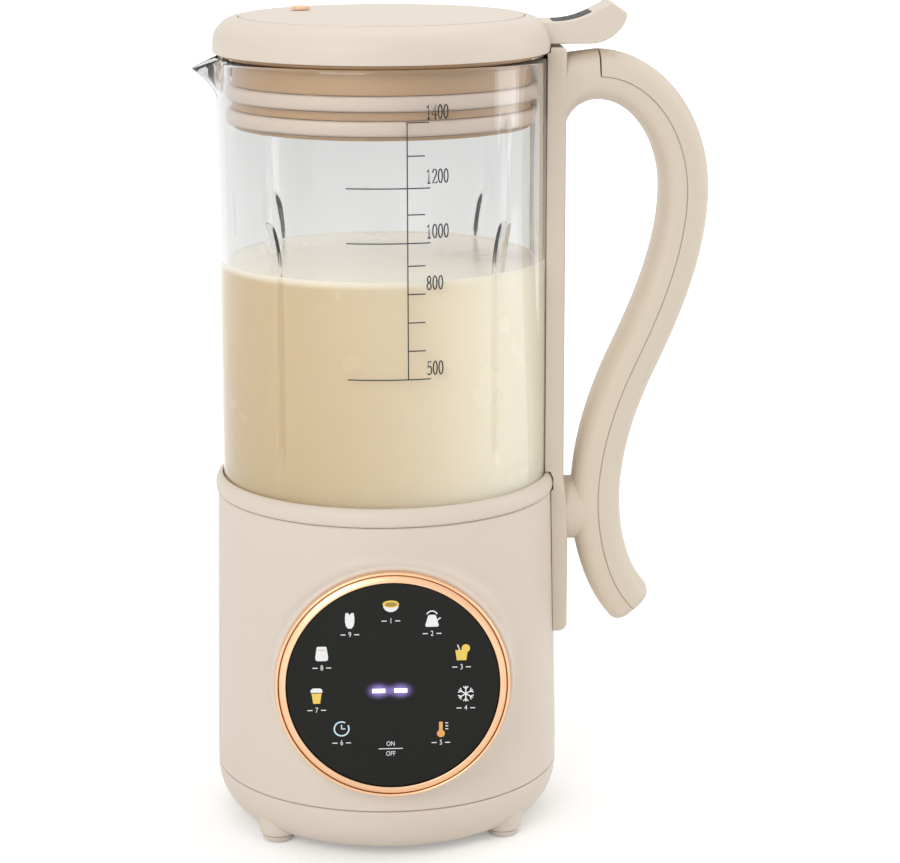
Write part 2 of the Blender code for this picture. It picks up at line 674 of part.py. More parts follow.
def add_panel_boss(housing):
    front = PANEL_RING_RADIUS + PANEL_BOSS_MARGIN
    root = front + PANEL_BOSS_FLARE
    bore = front - PANEL_BOSS_WALL
    back = math.sqrt(BASE_TOP_RADIUS ** 2 - root ** 2)
    edge = arc(
        (front - PANEL_BOSS_EDGE, PANEL_BOSS_FACE - PANEL_BOSS_EDGE), (PANEL_BOSS_EDGE, PANEL_BOSS_EDGE), 90, 0, 2
    )
    shell = [(0.0, PANEL_BOSS_FACE), *edge, (root, back), (0.0, back)]
    middle = (0.0, 0.0, PANEL_HEIGHT)
    # Half a step round, so that none of its edges meets a corner of the window
    join(housing, turned("panel_boss", shell, None, at=middle, turn=(90.0, 180.0 / TURN_STEPS, 0.0)))
    inside = [
        (0.0, DECK_UNDERSIDE - GAP),
        (base_radius(DECK_UNDERSIDE) - BASE_WALL - GAP, DECK_UNDERSIDE - GAP),
        (BASE_FOOT_RADIUS - BASE_WALL - GAP, BASE_STRAIGHT_TOP),
        (BASE_FOOT_RADIUS - BASE_WALL - GAP, HOUSING_BOTTOM),
        (0.0, HOUSING_BOTTOM),
    ]
    cut(housing, turned("motor_room", inside, None))
    facing = {"at": middle, "turn": (90.0, 0.0, 0.0)}
    cut(housing, rod("panel_boss_bore", bore, back - OVERRUN, PANEL_BOSS_FACE - PANEL_BOSS_WALL, None,
                     steps=TURN_STEPS, **facing))
    window = PANEL_RING_RADIUS - PANEL_RING_WIDTH - PANEL_RING_LEDGE - GAP
    cut(housing, rod("panel_window", window, back, PANEL_FACE + OVERRUN, None, steps=TURN_STEPS, **facing))


def add_screw_posts(housing):
    bottom = LUG_HEIGHT + GAP
    rib_bottom = COVER_HEIGHT + SPIGOT_HEIGHT + GAP
    rib_end = BASE_FOOT_RADIUS - BASE_WALL / 2
    for place_name, angle in corner_places().items():
        post = rod(f"post_{place_name}", POST_RADIUS, bottom, POST_TOP, None, at=around(LUG_CIRCLE, angle))
        rib = block(
            f"post_rib_{place_name}",
            (LUG_CIRCLE, -POST_RIB_WIDTH / 2, rib_bottom),
            (rib_end, POST_RIB_WIDTH / 2, POST_TOP - POST_RIB_WIDTH),
            None,
            turn=(0.0, 0.0, angle),
        )
        pilot_top = LUG_SEAT + BASE_SCREW_LENGTH + OVERRUN
        pilot = rod(
            f"post_pilot_{place_name}", SCREW_RADIUS + GAP, bottom - OVERRUN, pilot_top, None,
            at=around(LUG_CIRCLE, angle),
        )
        join(housing, post)
        join(housing, rib)
        cut(housing, pilot)


def add_inlet_pad(housing):
    half = INLET_PAD_WIDTH / 2
    low = INLET_HEIGHT - INLET_PAD_HEIGHT / 2
    pad = block("inlet_pad", (-half, INLET_PAD_BACK, low), (half, INLET_PAD_FACE, low + INLET_PAD_HEIGHT), None)
    half_hole = INLET_BODY_WIDTH / 2 + GAP
    rise = INLET_BODY_HEIGHT / 2 + GAP
    hole = block(
        "inlet_hole",
        (-half_hole, INLET_PAD_BACK - OVERRUN, INLET_HEIGHT - rise),
        (half_hole, INLET_PAD_FACE + OVERRUN, INLET_HEIGHT + rise),
        None,
    )
    join(housing, pad)
    cut(housing, hole)


def add_board_rails(housing):
    seat = BOARD_DEPTH + BOARD_THICKNESS + GAP
    rail_bottom, rail_top = BOARD_BOTTOM + BOARD_RAIL_INSET, BOARD_TOP - BOARD_RAIL_INSET
    for side in (-1, 1):
        middle = side * BOARD_RAIL_SPREAD
        half = BOARD_RAIL_WIDTH / 2
        wall = math.sqrt((base_radius(rail_top) - GAP) ** 2 - (BOARD_RAIL_SPREAD + half) ** 2)
        rail = block(
            f"board_rail_{side:+d}",
            (middle - half, seat, rail_bottom),
            (middle + half, wall, rail_top),
            None,
        )
        join(housing, rail)


def add_handle_screw_holes(housing):
    for level, height in (("upper", HANDLE_SCREW_HEIGHT), ("lower", LOWER_SCREW_HEIGHT)):
        hole = rod(
            f"handle_screw_hole_{level}", SCREW_RADIUS + GAP, base_radius(height) - BASE_WALL - OVERRUN,
            base_radius(height) + OVERRUN, None, at=(0.0, 0.0, height), turn=(0.0, 90.0, 0.0),
        )
        cut(housing, hole)


def make_bottom_cover():
    rise = COVER_HEIGHT - COVER_UNDERSIDE
    corner = (COVER_FLOOR_RADIUS, COVER_HEIGHT)
    outside = arc(corner, (COVER_INSET, rise), 0, -90, 4)
    inside = arc(corner, (COVER_INSET - COVER_WALL, rise - COVER_WALL), -90, 0, 2)
    spigot_radius = BASE_FOOT_RADIUS - BASE_WALL - GAP
    spigot_top = COVER_HEIGHT + SPIGOT_HEIGHT
    profile = [
        (0.0, COVER_FLOOR_TOP),
        *inside[:-1],
        (spigot_radius - SPIGOT_WALL, COVER_HEIGHT - COVER_WALL),
        (spigot_radius - SPIGOT_WALL, spigot_top),
        (spigot_radius, spigot_top),
        (spigot_radius, COVER_HEIGHT),
        *outside,
        (0.0, COVER_UNDERSIDE),
    ]
    cover = turned("bottom_cover", profile, "cream plastic")
    lug_bottom = PAD_HEIGHT + GAP
    for place_name, angle in corner_places().items():
        spot = around(LUG_CIRCLE, angle)
        join(cover, rod(f"lug_{place_name}", LUG_RADIUS, lug_bottom, LUG_HEIGHT, None, steps=MOTOR_STEPS, at=spot))
        pocket = SCREW_HEAD_RADIUS + RUNNING_GAP
        cut(cover, rod(f"lug_pocket_{place_name}", pocket, lug_bottom - OVERRUN, LUG_SEAT, None, at=spot))
        cut(cover, rod(f"lug_hole_{place_name}", SCREW_RADIUS + GAP, LUG_SEAT / 2, LUG_HEIGHT + OVERRUN, None,
                       at=spot))
    for index in range(VENT_COUNT):
        slot = block(
            f"vent_{index + 1}",
            (VENT_MIDDLE_RADIUS - VENT_LENGTH / 2, -VENT_WIDTH / 2, COVER_UNDERSIDE - OVERRUN),
            (VENT_MIDDLE_RADIUS + VENT_LENGTH / 2, VENT_WIDTH / 2, COVER_FLOOR_TOP + OVERRUN),
            None,
            turn=(0.0, 0.0, 360.0 * index / VENT_COUNT),
        )
        cut(cover, slot)


def make_feet_and_base_screws():
    for place_name, angle in corner_places().items():
        spot = around(LUG_CIRCLE, angle)
        stem_top = PAD_HEIGHT + PAD_STEM_HEIGHT
        pad = [
            (0.0, stem_top),
            (PAD_STEM_RADIUS, stem_top),
            (PAD_STEM_RADIUS, PAD_HEIGHT),
            (PAD_RADIUS, PAD_HEIGHT),
            (PAD_RADIUS, 0.0),
            (0.0, 0.0),
        ]
        turned(f"foot_{place_name}", pad, "foot rubber", steps=PIN_STEPS, at=spot)
        head_top = LUG_SEAT - GAP
        screw_at(f"base_screw_{place_name}", head_top, BASE_SCREW_LENGTH, at=spot)


def screw_at(name, seat, length, at, turn=(0.0, 0.0, 0.0)):
    """A pan-head screw along its local +Z, with the underside of its head at the seat."""
    profile = [
        (0.0, seat + length),
        (SCREW_RADIUS, seat + length - SCREW_RADIUS),
        (SCREW_RADIUS, seat),
        (SCREW_HEAD_RADIUS, seat),
        (SCREW_HEAD_RADIUS, seat - SCREW_HEAD_HEIGHT),
        (0.0, seat - SCREW_HEAD_HEIGHT),
    ]
    return turned(name, profile, "steel", steps=PIN_STEPS, at=at, turn=turn)


def make_panel():
    facing = {"at": (0.0, 0.0, PANEL_HEIGHT), "turn": (90.0, 0.0, 0.0)}
    outer = PANEL_RING_RADIUS
    inner = outer - PANEL_RING_WIDTH
    ledge = inner - PANEL_RING_LEDGE
    back = PANEL_FACE - PANEL_RING_DEPTH
    glass_back = PANEL_FACE - PANEL_GLASS_SET_BACK - PANEL_GLASS_THICKNESS
    crown = PANEL_RING_WIDTH / 2
    ring = [
        *arc((inner + crown, PANEL_FACE - crown / 2), (crown, crown / 2), 180, 0, 4),
        (outer, back),
        (ledge, back),
        (ledge, glass_back - GAP),
        (inner, glass_back - GAP),
    ]
    turned("panel_ring", ring, "rose gold", **facing)
    glass_front = PANEL_FACE - PANEL_GLASS_SET_BACK
    rod("panel_glass", inner - GAP, glass_back, glass_front, "black glass", steps=TURN_STEPS, **facing)
    frame_radius = ledge - 2 * GAP
    frame_back = PANEL_BOSS_FACE - PANEL_BOSS_WALL
    frame_front = glass_back - GAP
    frame = [
        (0.0, frame_front),
        (frame_radius, frame_front),
        (frame_radius, frame_back),
        (frame_radius - PANEL_FRAME_WALL, frame_back),
        (frame_radius - PANEL_FRAME_WALL, frame_front - PANEL_FRAME_WALL),
        (0.0, frame_front - PANEL_FRAME_WALL),
    ]
    turned("panel_frame", frame, "black plastic", steps=INNER_STEPS, **facing)
    board_radius = PANEL_RING_RADIUS + PANEL_BOSS_MARGIN - PANEL_BOSS_WALL - GAP
    board_front = frame_back - GAP
    rod("display_board", board_radius, board_front - PANEL_BOARD_THICKNESS, board_front, "circuit board",
        steps=INNER_STEPS, **facing)


def make_power_inlet():
    half = INLET_BODY_WIDTH / 2
    rise = INLET_BODY_HEIGHT / 2
    flange_back = INLET_PAD_FACE + GAP
    body_back = flange_back - INLET_BODY_DEPTH
    inlet = block(
        "power_inlet",
        (-INLET_FLANGE_WIDTH / 2, flange_back, INLET_HEIGHT - INLET_FLANGE_HEIGHT / 2),
        (INLET_FLANGE_WIDTH / 2, INLET_FACE, INLET_HEIGHT + INLET_FLANGE_HEIGHT / 2),
        "black plastic",
    )
    body = block(
        "inlet_body", (-half, body_back, INLET_HEIGHT - rise), (half, INLET_FACE - GAP, INLET_HEIGHT + rise), None
    )
    socket_floor = body_back + INLET_WALL
    socket = block(
        "inlet_socket",
        (-half + INLET_WALL, socket_floor, INLET_HEIGHT - rise + INLET_WALL),
        (half - INLET_WALL, INLET_FACE + OVERRUN, INLET_HEIGHT + rise - INLET_WALL),
        None,
    )
    pins = []
    for across, up in ((-PIN_SPREAD, -PIN_RISE), (PIN_SPREAD, -PIN_RISE), (0.0, PIN_RISE)):
        low = (across - PIN_THICKNESS / 2, socket_floor - INLET_WALL / 2, INLET_HEIGHT + up - PIN_WIDTH / 2)
        high = (across + PIN_THICKNESS / 2, socket_floor + PIN_LENGTH, INLET_HEIGHT + up + PIN_WIDTH / 2)
        pins.append((low, high))
    join(inlet, body)
    cut(inlet, socket)
    join(inlet, place("inlet_pins", block_mesh("inlet_pins", pins), None))


def make_power_board():
    half = BOARD_WIDTH / 2
    block("power_board", (-half, BOARD_DEPTH, BOARD_BOTTOM), (half, BOARD_DEPTH + BOARD_THICKNESS, BOARD_TOP),
          "circuit board")
    front = BOARD_DEPTH - GAP
    width, depth, height = RELAY_SIZE
    top = BOARD_TOP - GAP
    block("relay", (-COMPONENT_SPREAD - width / 2, front - depth, top - height),
          (-COMPONENT_SPREAD + width / 2, front, top), "white plastic")
    width, depth, height = TRANSFORMER_SIZE
    low = BOARD_BOTTOM + GAP
    block("transformer", (COMPONENT_SPREAD - width / 2, front - depth, low),
          (COMPONENT_SPREAD + width / 2, front, low + height), "black plastic")
    rod("capacitor", CAPACITOR_RADIUS, -front, CAPACITOR_LENGTH - front, "black plastic",
        at=(-COMPONENT_SPREAD, 0.0, BOARD_BOTTOM + CAPACITOR_RADIUS + GAP), turn=(90.0, 0.0, 0.0))


def jug_angles():
    """Column angles in degrees: even steps, and closer ones over each rib and the spout."""
    step = 360.0 / TURN_STEPS
    angles = {round(step * index, 6) for index in range(TURN_STEPS)}
    half_rib = math.degrees(RIB_HALF_WIDTH / JUG_RADIUS)
    for middle in rib_angles():
        angles = {angle for angle in angles if abs(angle - middle) > half_rib}
        angles |= {round(middle + half_rib * share, 6) for share in RIB_COLUMN_SHARES}
    half_spout = math.degrees(SPOUT_HALF_WIDTH / JUG_RADIUS)
    angles |= {round(180.0 + half_spout * share, 6) for share in SPOUT_COLUMN_SHARES}
    return sorted(angles)


def rib_angles():
    """Front and back pairs of ribs, the same angle either side of the panel's plane."""
    per_side = RIB_COUNT // 2
    return sorted((270.0 + 180.0 * side + RIB_ANGLE * sign) % 360.0 for side in range(per_side) for sign in (-1, 1))


def rib_dent(angle, height):
    """How far the glass is pressed in: a narrow ridge that fades out at both ends."""
    half = math.degrees(RIB_HALF_WIDTH / JUG_RADIUS)
    off = min(abs(angle - middle) for middle in rib_angles()) / half
    ends = min(height - RIB_FOOT_HEIGHT, RIB_TOP_HEIGHT - height) / RIB_EASE
    if off >= 1.0 or ends <= 0.0:
        return 0.0
    return RIB_DEPTH * math.cos(off * math.pi / 2) ** 2 * math.sin(min(1.0, ends) * math.pi / 2)


def spout_lead(angle):
    """1 along the middle of the spout, falling to 0 at its sides."""
    half = math.degrees(SPOUT_HALF_WIDTH / JUG_RADIUS)
    return math.cos(min(1.0, abs(angle - 180.0) / half) * math.pi / 2) ** 2


def make_glass_jug():
    spout_foot = JUG_HEIGHT - SPOUT_HEIGHT
    plain_rows = [0.0, RIB_FOOT_HEIGHT, RIB_FOOT_HEIGHT + RIB_EASE, RIB_TOP_HEIGHT - RIB_EASE, RIB_TOP_HEIGHT]
    angles = jug_angles()
    rings = []
    for height in plain_rows:
        rings.append([around(JUG_RADIUS - rib_dent(angle, height), angle, JUG_FOOT + height) for angle in angles])
    for rise_share in SPOUT_ROW_SHARES:
        ring = []
        for angle in angles:
            lead = spout_lead(angle)
            height = spout_foot + (SPOUT_HEIGHT - SPOUT_DIP * lead) * rise_share
            ring.append(around(JUG_RADIUS + SPOUT_REACH * lead * rise_share, angle, JUG_FOOT + height))
        rings.append(ring)
    shape = bmesh.new()
    rows = [[shape.verts.new(point) for point in ring] for ring in rings]
    for row, above in zip(rows, rows[1:]):
        for index in range(len(row)):
            after = (index + 1) % len(row)
            shape.faces.new((row[index], row[after], above[after], above[index]))
    mesh = bpy.data.meshes.new("glass_jug")
    shape.to_mesh(mesh)
    shape.free()
    smooth(mesh)
    jug = place("glass_jug", mesh, "clear glass")
    wall = jug.modifiers.new("Wall", "SOLIDIFY")
    wall.thickness = JUG_WALL
    wall.offset = -1.0
    wall.use_even_offset = True


def make_collar_and_gasket():
    bore = JUG_RADIUS + GLASS_GAP
    bulge = COLLAR_FOOT + COLLAR_LOWER_CURVE
    edge = COLLAR_LOWER_CURVE / 2
    collar = [
        *arc((bore, bulge), (COLLAR_RADIUS - bore, COLLAR_TOP - bulge), 90, 0, 3),
        *arc((COLLAR_RADIUS - edge, bulge), (edge, COLLAR_LOWER_CURVE), -45, -90, 1),
        (bore, COLLAR_FOOT),
    ]
    turned("jug_collar", collar, "cream plastic")
    foot_bottom = PLATE_FOOT + PLATE_THICKNESS + GAP
    foot_top = JUG_FOOT - GAP
    leg = GASKET_BORE + GASKET_WALL
    gasket = [
        (GASKET_BORE, foot_bottom + GASKET_HEIGHT),
        (leg, foot_bottom + GASKET_HEIGHT),
        (leg, foot_top),
        (JUG_RADIUS - GAP, foot_top),
        (JUG_RADIUS - GAP, foot_bottom),
        (GASKET_BORE, foot_bottom),
    ]
    turned("jug_gasket", gasket, "pale silicone")


def plate_floor(radius):
    """Height of the heating plate's upper face, which dips towards the middle."""
    rim = PLATE_SKIRT_RADIUS - PLATE_CORNER
    return PLATE_TOP - PLATE_DISH * (1.0 - radius / rim)


def make_heating_plate():
    rim = PLATE_SKIRT_RADIUS - PLATE_CORNER
    outside = arc((rim, PLATE_TOP - PLATE_CORNER), (PLATE_CORNER, PLATE_CORNER), 90, 0, 2)
    inside_corner = PLATE_CORNER - PLATE_THICKNESS
    inside = arc((rim, PLATE_TOP - PLATE_CORNER), (inside_corner, inside_corner), 0, 90, 1)
    profile = [
        (PLATE_HUB_RADIUS, plate_floor(PLATE_HUB_RADIUS)),
        *outside,
        (PLATE_SKIRT_RADIUS, PLATE_FOOT + PLATE_THICKNESS),
        (JUG_RADIUS - GAP, PLATE_FOOT + PLATE_THICKNESS),
        (JUG_RADIUS - GAP, PLATE_FOOT),
        (PLATE_SKIRT_RADIUS - PLATE_THICKNESS, PLATE_FOOT),
        *inside,
        (PLATE_HUB_RADIUS, plate_floor(PLATE_HUB_RADIUS) - PLATE_THICKNESS),
    ]
    plate = turned("heating_plate", profile, "steel", steps=INNER_STEPS)
    spot = around(SENSOR_PLACE, SENSOR_ANGLE)
    floor = plate_floor(SENSOR_PLACE)
    cut(plate, rod("sensor_hole", SENSOR_RADIUS + GAP, floor - OVERRUN, floor + OVERRUN, None, at=spot))
    collar_top = plate_floor(SENSOR_PLACE - SENSOR_RADIUS - PLATE_THICKNESS) - PLATE_THICKNESS - GAP
    collar = SENSOR_RADIUS + PLATE_THICKNESS
    sensor = [
        (0.0, floor + SENSOR_DOME),
        (SENSOR_RADIUS / 2, floor + SENSOR_DOME - PLATE_THICKNESS / 2),
        (SENSOR_RADIUS, floor + PLATE_THICKNESS),
        (SENSOR_RADIUS, collar_top),
        (collar, collar_top),
        (collar, collar_top - PLATE_THICKNESS),
        (SENSOR_RADIUS, collar_top - SENSOR_TAIL),
        (0.0, collar_top - SENSOR_TAIL),
    ]
    turned("temperature_sensor", sensor, "steel", steps=PIN_STEPS, at=spot)


def make_heating_element():
    """An open ring of tube under the plate, whose two ends turn down for their wires."""
    height = plate_floor(ELEMENT_RADIUS - ELEMENT_TUBE_RADIUS) - PLATE_THICKNESS - GAP - ELEMENT_TUBE_RADIUS
    start = 90.0 + ELEMENT_OPEN_ANGLE / 2
    sweep = 360.0 - ELEMENT_OPEN_ANGLE
    points = [
        around(ELEMENT_RADIUS, start + sweep * index / ELEMENT_BENDS, height)
        for index in range(ELEMENT_BENDS + 1)
    ]
    leg = ELEMENT_TUBE_RADIUS
    first = around(ELEMENT_RADIUS, start - math.degrees(leg / ELEMENT_RADIUS), height - leg)
    last = around(ELEMENT_RADIUS, start + sweep + math.degrees(leg / ELEMENT_RADIUS), height - leg)
    path = [(*first[:2], first[2] - ELEMENT_LEG), first, *points, last, (*last[:2], last[2] - ELEMENT_LEG)]
    curve = bpy.data.curves.new("heating_element", "CURVE")
    curve.dimensions = "3D"
    curve.bevel_depth = ELEMENT_TUBE_RADIUS
    curve.bevel_resolution = 1
    curve.use_fill_caps = True
    spline = curve.splines.new("POLY")
    spline.points.add(len(path) - 1)
    for point, spot in zip(spline.points, path):
        point.co = (*spot, 1.0)
    element = bpy.data.objects.new("heating_element", curve)
    element.parent = machine_axis
    parts.objects.link(element)
    curve.materials.append(finish_material("heating_element", "steel"))


def make_shaft_seal():
    bore = SHAFT_RADIUS + RUNNING_GAP
    neck = PLATE_HUB_RADIUS - GAP
    seat = plate_floor(PLATE_HUB_RADIUS + SEAL_FLANGE) + GAP
    top = seat + SEAL_FLANGE_THICKNESS
    profile = [
        (bore, top),
        (neck, top),
        (neck + SEAL_FLANGE, seat + SEAL_FLANGE_THICKNESS / 2),
        (neck + SEAL_FLANGE, seat),
        (neck, seat),
        (neck, seat - SEAL_LENGTH),
        (bore, seat - SEAL_LENGTH),
    ]
    turned("shaft_seal", profile, "rubber", steps=MOTOR_STEPS)


def upper_bearing_span():
    top = BRACKET_UNDERSIDE
    return top - BEARING_WIDTH, top


def lower_bearing_span():
    top = LOWER_BRACKET_TOP - LOWER_BRACKET_THICKNESS
    return top - BEARING_WIDTH, top


def make_motor_brackets():
    bottom, top = upper_bearing_span()
    bore = BEARING_RADIUS + GAP
    hub = bore + BRACKET_HUB_WALL
    lip = BEARING_RADIUS - BRACKET_HUB_WALL
    plate = [
        (lip, BRACKET_TOP),
        (BRACKET_RADIUS, BRACKET_TOP),
        (BRACKET_RADIUS, BRACKET_UNDERSIDE),
        (hub, BRACKET_UNDERSIDE),
        (hub, bottom),
        (bore, bottom),
        (bore, BRACKET_UNDERSIDE + GAP),
        (lip, BRACKET_UNDERSIDE + GAP),
    ]
    upper = turned("motor_bracket_upper", plate, "aluminium", steps=MOTOR_STEPS)
    for index in range(BRACKET_WINDOW_COUNT):
        spot = around((hub + BRACKET_RADIUS) / 2, 360.0 * (index + 0.5) / BRACKET_WINDOW_COUNT)
        window = rod(f"bracket_window_{index + 1}", BRACKET_WINDOW_RADIUS, BRACKET_UNDERSIDE - OVERRUN,
                     BRACKET_TOP + OVERRUN, None, steps=PIN_STEPS, at=spot)
        cut(upper, window)
    leg_inner = STATOR_RADIUS - BRACKET_LEG_THICKNESS
    half = BRACKET_LEG_WIDTH / 2
    overlap = BRACKET_THICKNESS / 2
    for side, turn in (("right", 0.0), ("left", 180.0)):
        leg = block(f"upper_leg_{side}", (leg_inner, -half, STATOR_TOP + GAP),
                    (STATOR_RADIUS, half, BRACKET_UNDERSIDE + overlap), None, turn=(0.0, 0.0, turn))
        join(upper, leg)
    bottom, top = lower_bearing_span()
    hub_profile = [
        (lip, LOWER_BRACKET_TOP),
        (hub, LOWER_BRACKET_TOP),
        (hub, bottom),
        (bore, bottom),
        (bore, top + GAP),
        (lip, top + GAP),
    ]
    lower = turned("motor_bracket_lower", hub_profile, "aluminium", steps=MOTOR_STEPS)
    bar_bottom = LOWER_BRACKET_TOP - LOWER_BRACKET_THICKNESS + GAP
    for side, turn in (("right", 0.0), ("left", 180.0)):
        bar = block(f"lower_bar_{side}", ((bore + hub) / 2, -LOWER_BRACKET_WIDTH / 2, bar_bottom),
                    (STATOR_RADIUS, LOWER_BRACKET_WIDTH / 2, LOWER_BRACKET_TOP - GAP), None, turn=(0.0, 0.0, turn))
        leg = block(f"lower_leg_{side}", (leg_inner, -half, LOWER_BRACKET_TOP - overlap),
                    (STATOR_RADIUS, half, STATOR_BOTTOM - GAP), None, turn=(0.0, 0.0, turn))
        join(lower, bar)
        join(lower, leg)


def make_bearings():
    bore = SHAFT_RADIUS + GAP
    for level, (bottom, top) in (("upper", upper_bearing_span()), ("lower", lower_bearing_span())):
        profile = [(bore, top), (BEARING_RADIUS, top), (BEARING_RADIUS, bottom), (bore, bottom)]
        turned(f"{level}_bearing", profile, "steel", steps=MOTOR_STEPS)


def sector(name, inner, outer, bottom, top, start, end, finish, steps=6):
    """A block of ring between two angles, lofted section by section."""
    rings = []
    for index in range(steps + 1):
        angle = start + (end - start) * index / steps
        rings.append([around(radius, angle, height) for radius, height in
                      ((inner, bottom), (outer, bottom), (outer, top), (inner, top))])
    return loft(name, rings, finish)


def make_stator_and_coils():
    bore = ARMATURE_RADIUS + AIR_GAP
    stator = rod("stator_core", STATOR_RADIUS, STATOR_BOTTOM, STATOR_TOP, "lamination", steps=MOTOR_STEPS)
    cut(stator, rod("stator_bore", bore, STATOR_BOTTOM - OVERRUN, STATOR_TOP + OVERRUN, None, steps=MOTOR_STEPS))
    limb = COIL_SPAN - COIL_LIMB_ANGLE
    slack = math.degrees(GAP / COIL_INNER_RADIUS)
    for side, middle in (("rear", 90.0), ("front", 270.0)):
        for edge in (-1, 1):
            start = middle + edge * (limb - slack)
            end = middle + edge * (COIL_SPAN + slack)
            slot = sector(f"coil_slot_{side}_{edge:+d}", COIL_INNER_RADIUS - GAP, COIL_OUTER_RADIUS + GAP,
                          STATOR_BOTTOM - OVERRUN, STATOR_TOP + OVERRUN, start, end, None, steps=1)
            cut(stator, slot)
        coil = sector(f"field_coil_{side}", COIL_INNER_RADIUS, COIL_OUTER_RADIUS, STATOR_BOTTOM - COIL_END_HEIGHT,
                      STATOR_TOP + COIL_END_HEIGHT, middle - COIL_SPAN, middle + COIL_SPAN, "copper", steps=10)
        pole = sector(f"coil_window_{side}", COIL_INNER_RADIUS - OVERRUN, COIL_OUTER_RADIUS + OVERRUN,
                      STATOR_BOTTOM - GAP, STATOR_TOP + GAP, middle - limb, middle + limb, None)
        cut(coil, pole)


def armature_outline():
    """Tooth tips on the armature's radius, with a parallel slot between each pair."""
    pitch = 360.0 / ARMATURE_TEETH
    half_tip = pitch * ARMATURE_TOOTH_SHARE / 2
    root = ARMATURE_RADIUS - ARMATURE_SLOT_DEPTH
    half_root = half_tip * root / ARMATURE_RADIUS
    points = []
    for index in range(ARMATURE_TEETH):
        middle = pitch * index
        for radius, angle in ((root, middle - half_root), (ARMATURE_RADIUS, middle - half_tip),
                              (ARMATURE_RADIUS, middle + half_tip), (root, middle + half_root)):
            points.append(around(radius, angle)[:2])
    return points


def make_rotor():
    shaft = [
        (0.0, SHAFT_TOP),
        (SHAFT_RADIUS - GAP, SHAFT_TOP),
        (SHAFT_RADIUS, SHAFT_TOP - GAP),
        (SHAFT_RADIUS, SHAFT_BOTTOM),
        (0.0, SHAFT_BOTTOM),
    ]
    turned("motor_shaft", shaft, "steel", steps=PIN_STEPS)
    bore = SHAFT_RADIUS + GAP
    hole = [around(bore, 360.0 * index / PIN_STEPS)[:2] for index in range(PIN_STEPS)]
    core = outline_mesh("armature_core", [armature_outline(), hole], STATOR_HEIGHT)
    place("armature_core", core, "lamination", at=(0.0, 0.0, STATOR_BOTTOM + STATOR_HEIGHT / 2))
    for level, bottom in (("upper", STATOR_TOP + GAP), ("lower", STATOR_BOTTOM - GAP - WINDING_HEIGHT)):
        winding = [
            (bore, bottom + WINDING_HEIGHT),
            (WINDING_RADIUS - WINDING_ROUND, bottom + WINDING_HEIGHT),
            (WINDING_RADIUS, bottom + WINDING_HEIGHT / 2),
            (WINDING_RADIUS - WINDING_ROUND, bottom),
            (bore, bottom),
        ]
        turned(f"armature_winding_{level}", winding, "copper", steps=MOTOR_STEPS)
    top = STATOR_BOTTOM - 2 * GAP - WINDING_HEIGHT
    bottom = top - COMMUTATOR_HEIGHT
    commutator = [(bore, top), (COMMUTATOR_RADIUS, top), (COMMUTATOR_RADIUS, bottom), (bore, bottom)]
    turned("commutator", commutator, "copper", steps=MOTOR_STEPS)


def make_brush_holders():
    start = COMMUTATOR_RADIUS + RUNNING_GAP
    bottom = LOWER_BRACKET_TOP + GAP
    half = BRUSH_WIDTH / 2
    end = STATOR_RADIUS - BRACKET_LEG_THICKNESS - BRUSH_END_ROOM
    for side, turn in (("right", 0.0), ("left", 180.0)):
        block(f"brush_holder_{side}", (start, -half, bottom), (end, half, bottom + BRUSH_WIDTH),
              "black plastic", turn=(0.0, 0.0, turn))


def make_cooling_fan():
    plate_top = FAN_BOTTOM + FAN_HEIGHT
    plate_bottom = plate_top - FAN_PLATE_THICKNESS
    bore = SHAFT_RADIUS + GAP
    profile = [
        (bore, plate_top),
        (FAN_RADIUS, plate_top),
        (FAN_RADIUS, plate_bottom),
        (FAN_HUB_RADIUS, plate_bottom),
        (FAN_HUB_RADIUS, FAN_BOTTOM),
        (bore, FAN_BOTTOM),
    ]
    fan = turned("cooling_fan", profile, "white plastic", steps=MOTOR_STEPS)
    shape = bmesh.new()
    half = FAN_BLADE_THICKNESS / 2
    size = (FAN_RADIUS - FAN_BLADE_INNER, FAN_BLADE_THICKNESS, FAN_HEIGHT - half)
    middle = ((FAN_RADIUS + FAN_BLADE_INNER) / 2 - half, 0.0, FAN_BOTTOM + size[2] / 2)
    for index in range(FAN_BLADES):
        turn = Matrix.Rotation(math.radians(360.0 * index / FAN_BLADES), 4, "Z")
        box = turn @ Matrix.Translation(middle) @ Matrix.Diagonal((*size, 1.0))
        bmesh.ops.create_cube(shape, size=1.0, matrix=box)
    mesh = bpy.data.meshes.new("fan_blades")
    shape.to_mesh(mesh)
    shape.free()
    join(fan, place("fan_blades", mesh, None))


def blade_rings(reach, lift, bottom):
    """Sections of a two-armed blade from tip to tip, ground thin along each leading edge."""
    arm = (BLADE_HUB_SHARE, *BLADE_ARM_SHARES)
    edge = BLADE_THICKNESS / 4
    rings = []
    for share in [-out for out in reversed(arm)] + list(arm):
        out = abs(share)
        half = (BLADE_ROOT_WIDTH + (BLADE_TIP_WIDTH - BLADE_ROOT_WIDTH) * out) / 2
        if out == 1.0:
            half = BLADE_TIP_WIDTH / 4
        low = bottom + lift * (out - BLADE_HUB_SHARE) / (1.0 - BLADE_HUB_SHARE)
        high = low + BLADE_THICKNESS
        right = high if share <= BLADE_HUB_SHARE else low + edge
        left = high if share >= -BLADE_HUB_SHARE else low + edge
        across = ((-half, low), (half, low), (half, right), (half / 2, high), (-half / 2, high), (-half, left))
        rings.append([(reach * share, side, height) for side, height in across])
    return rings


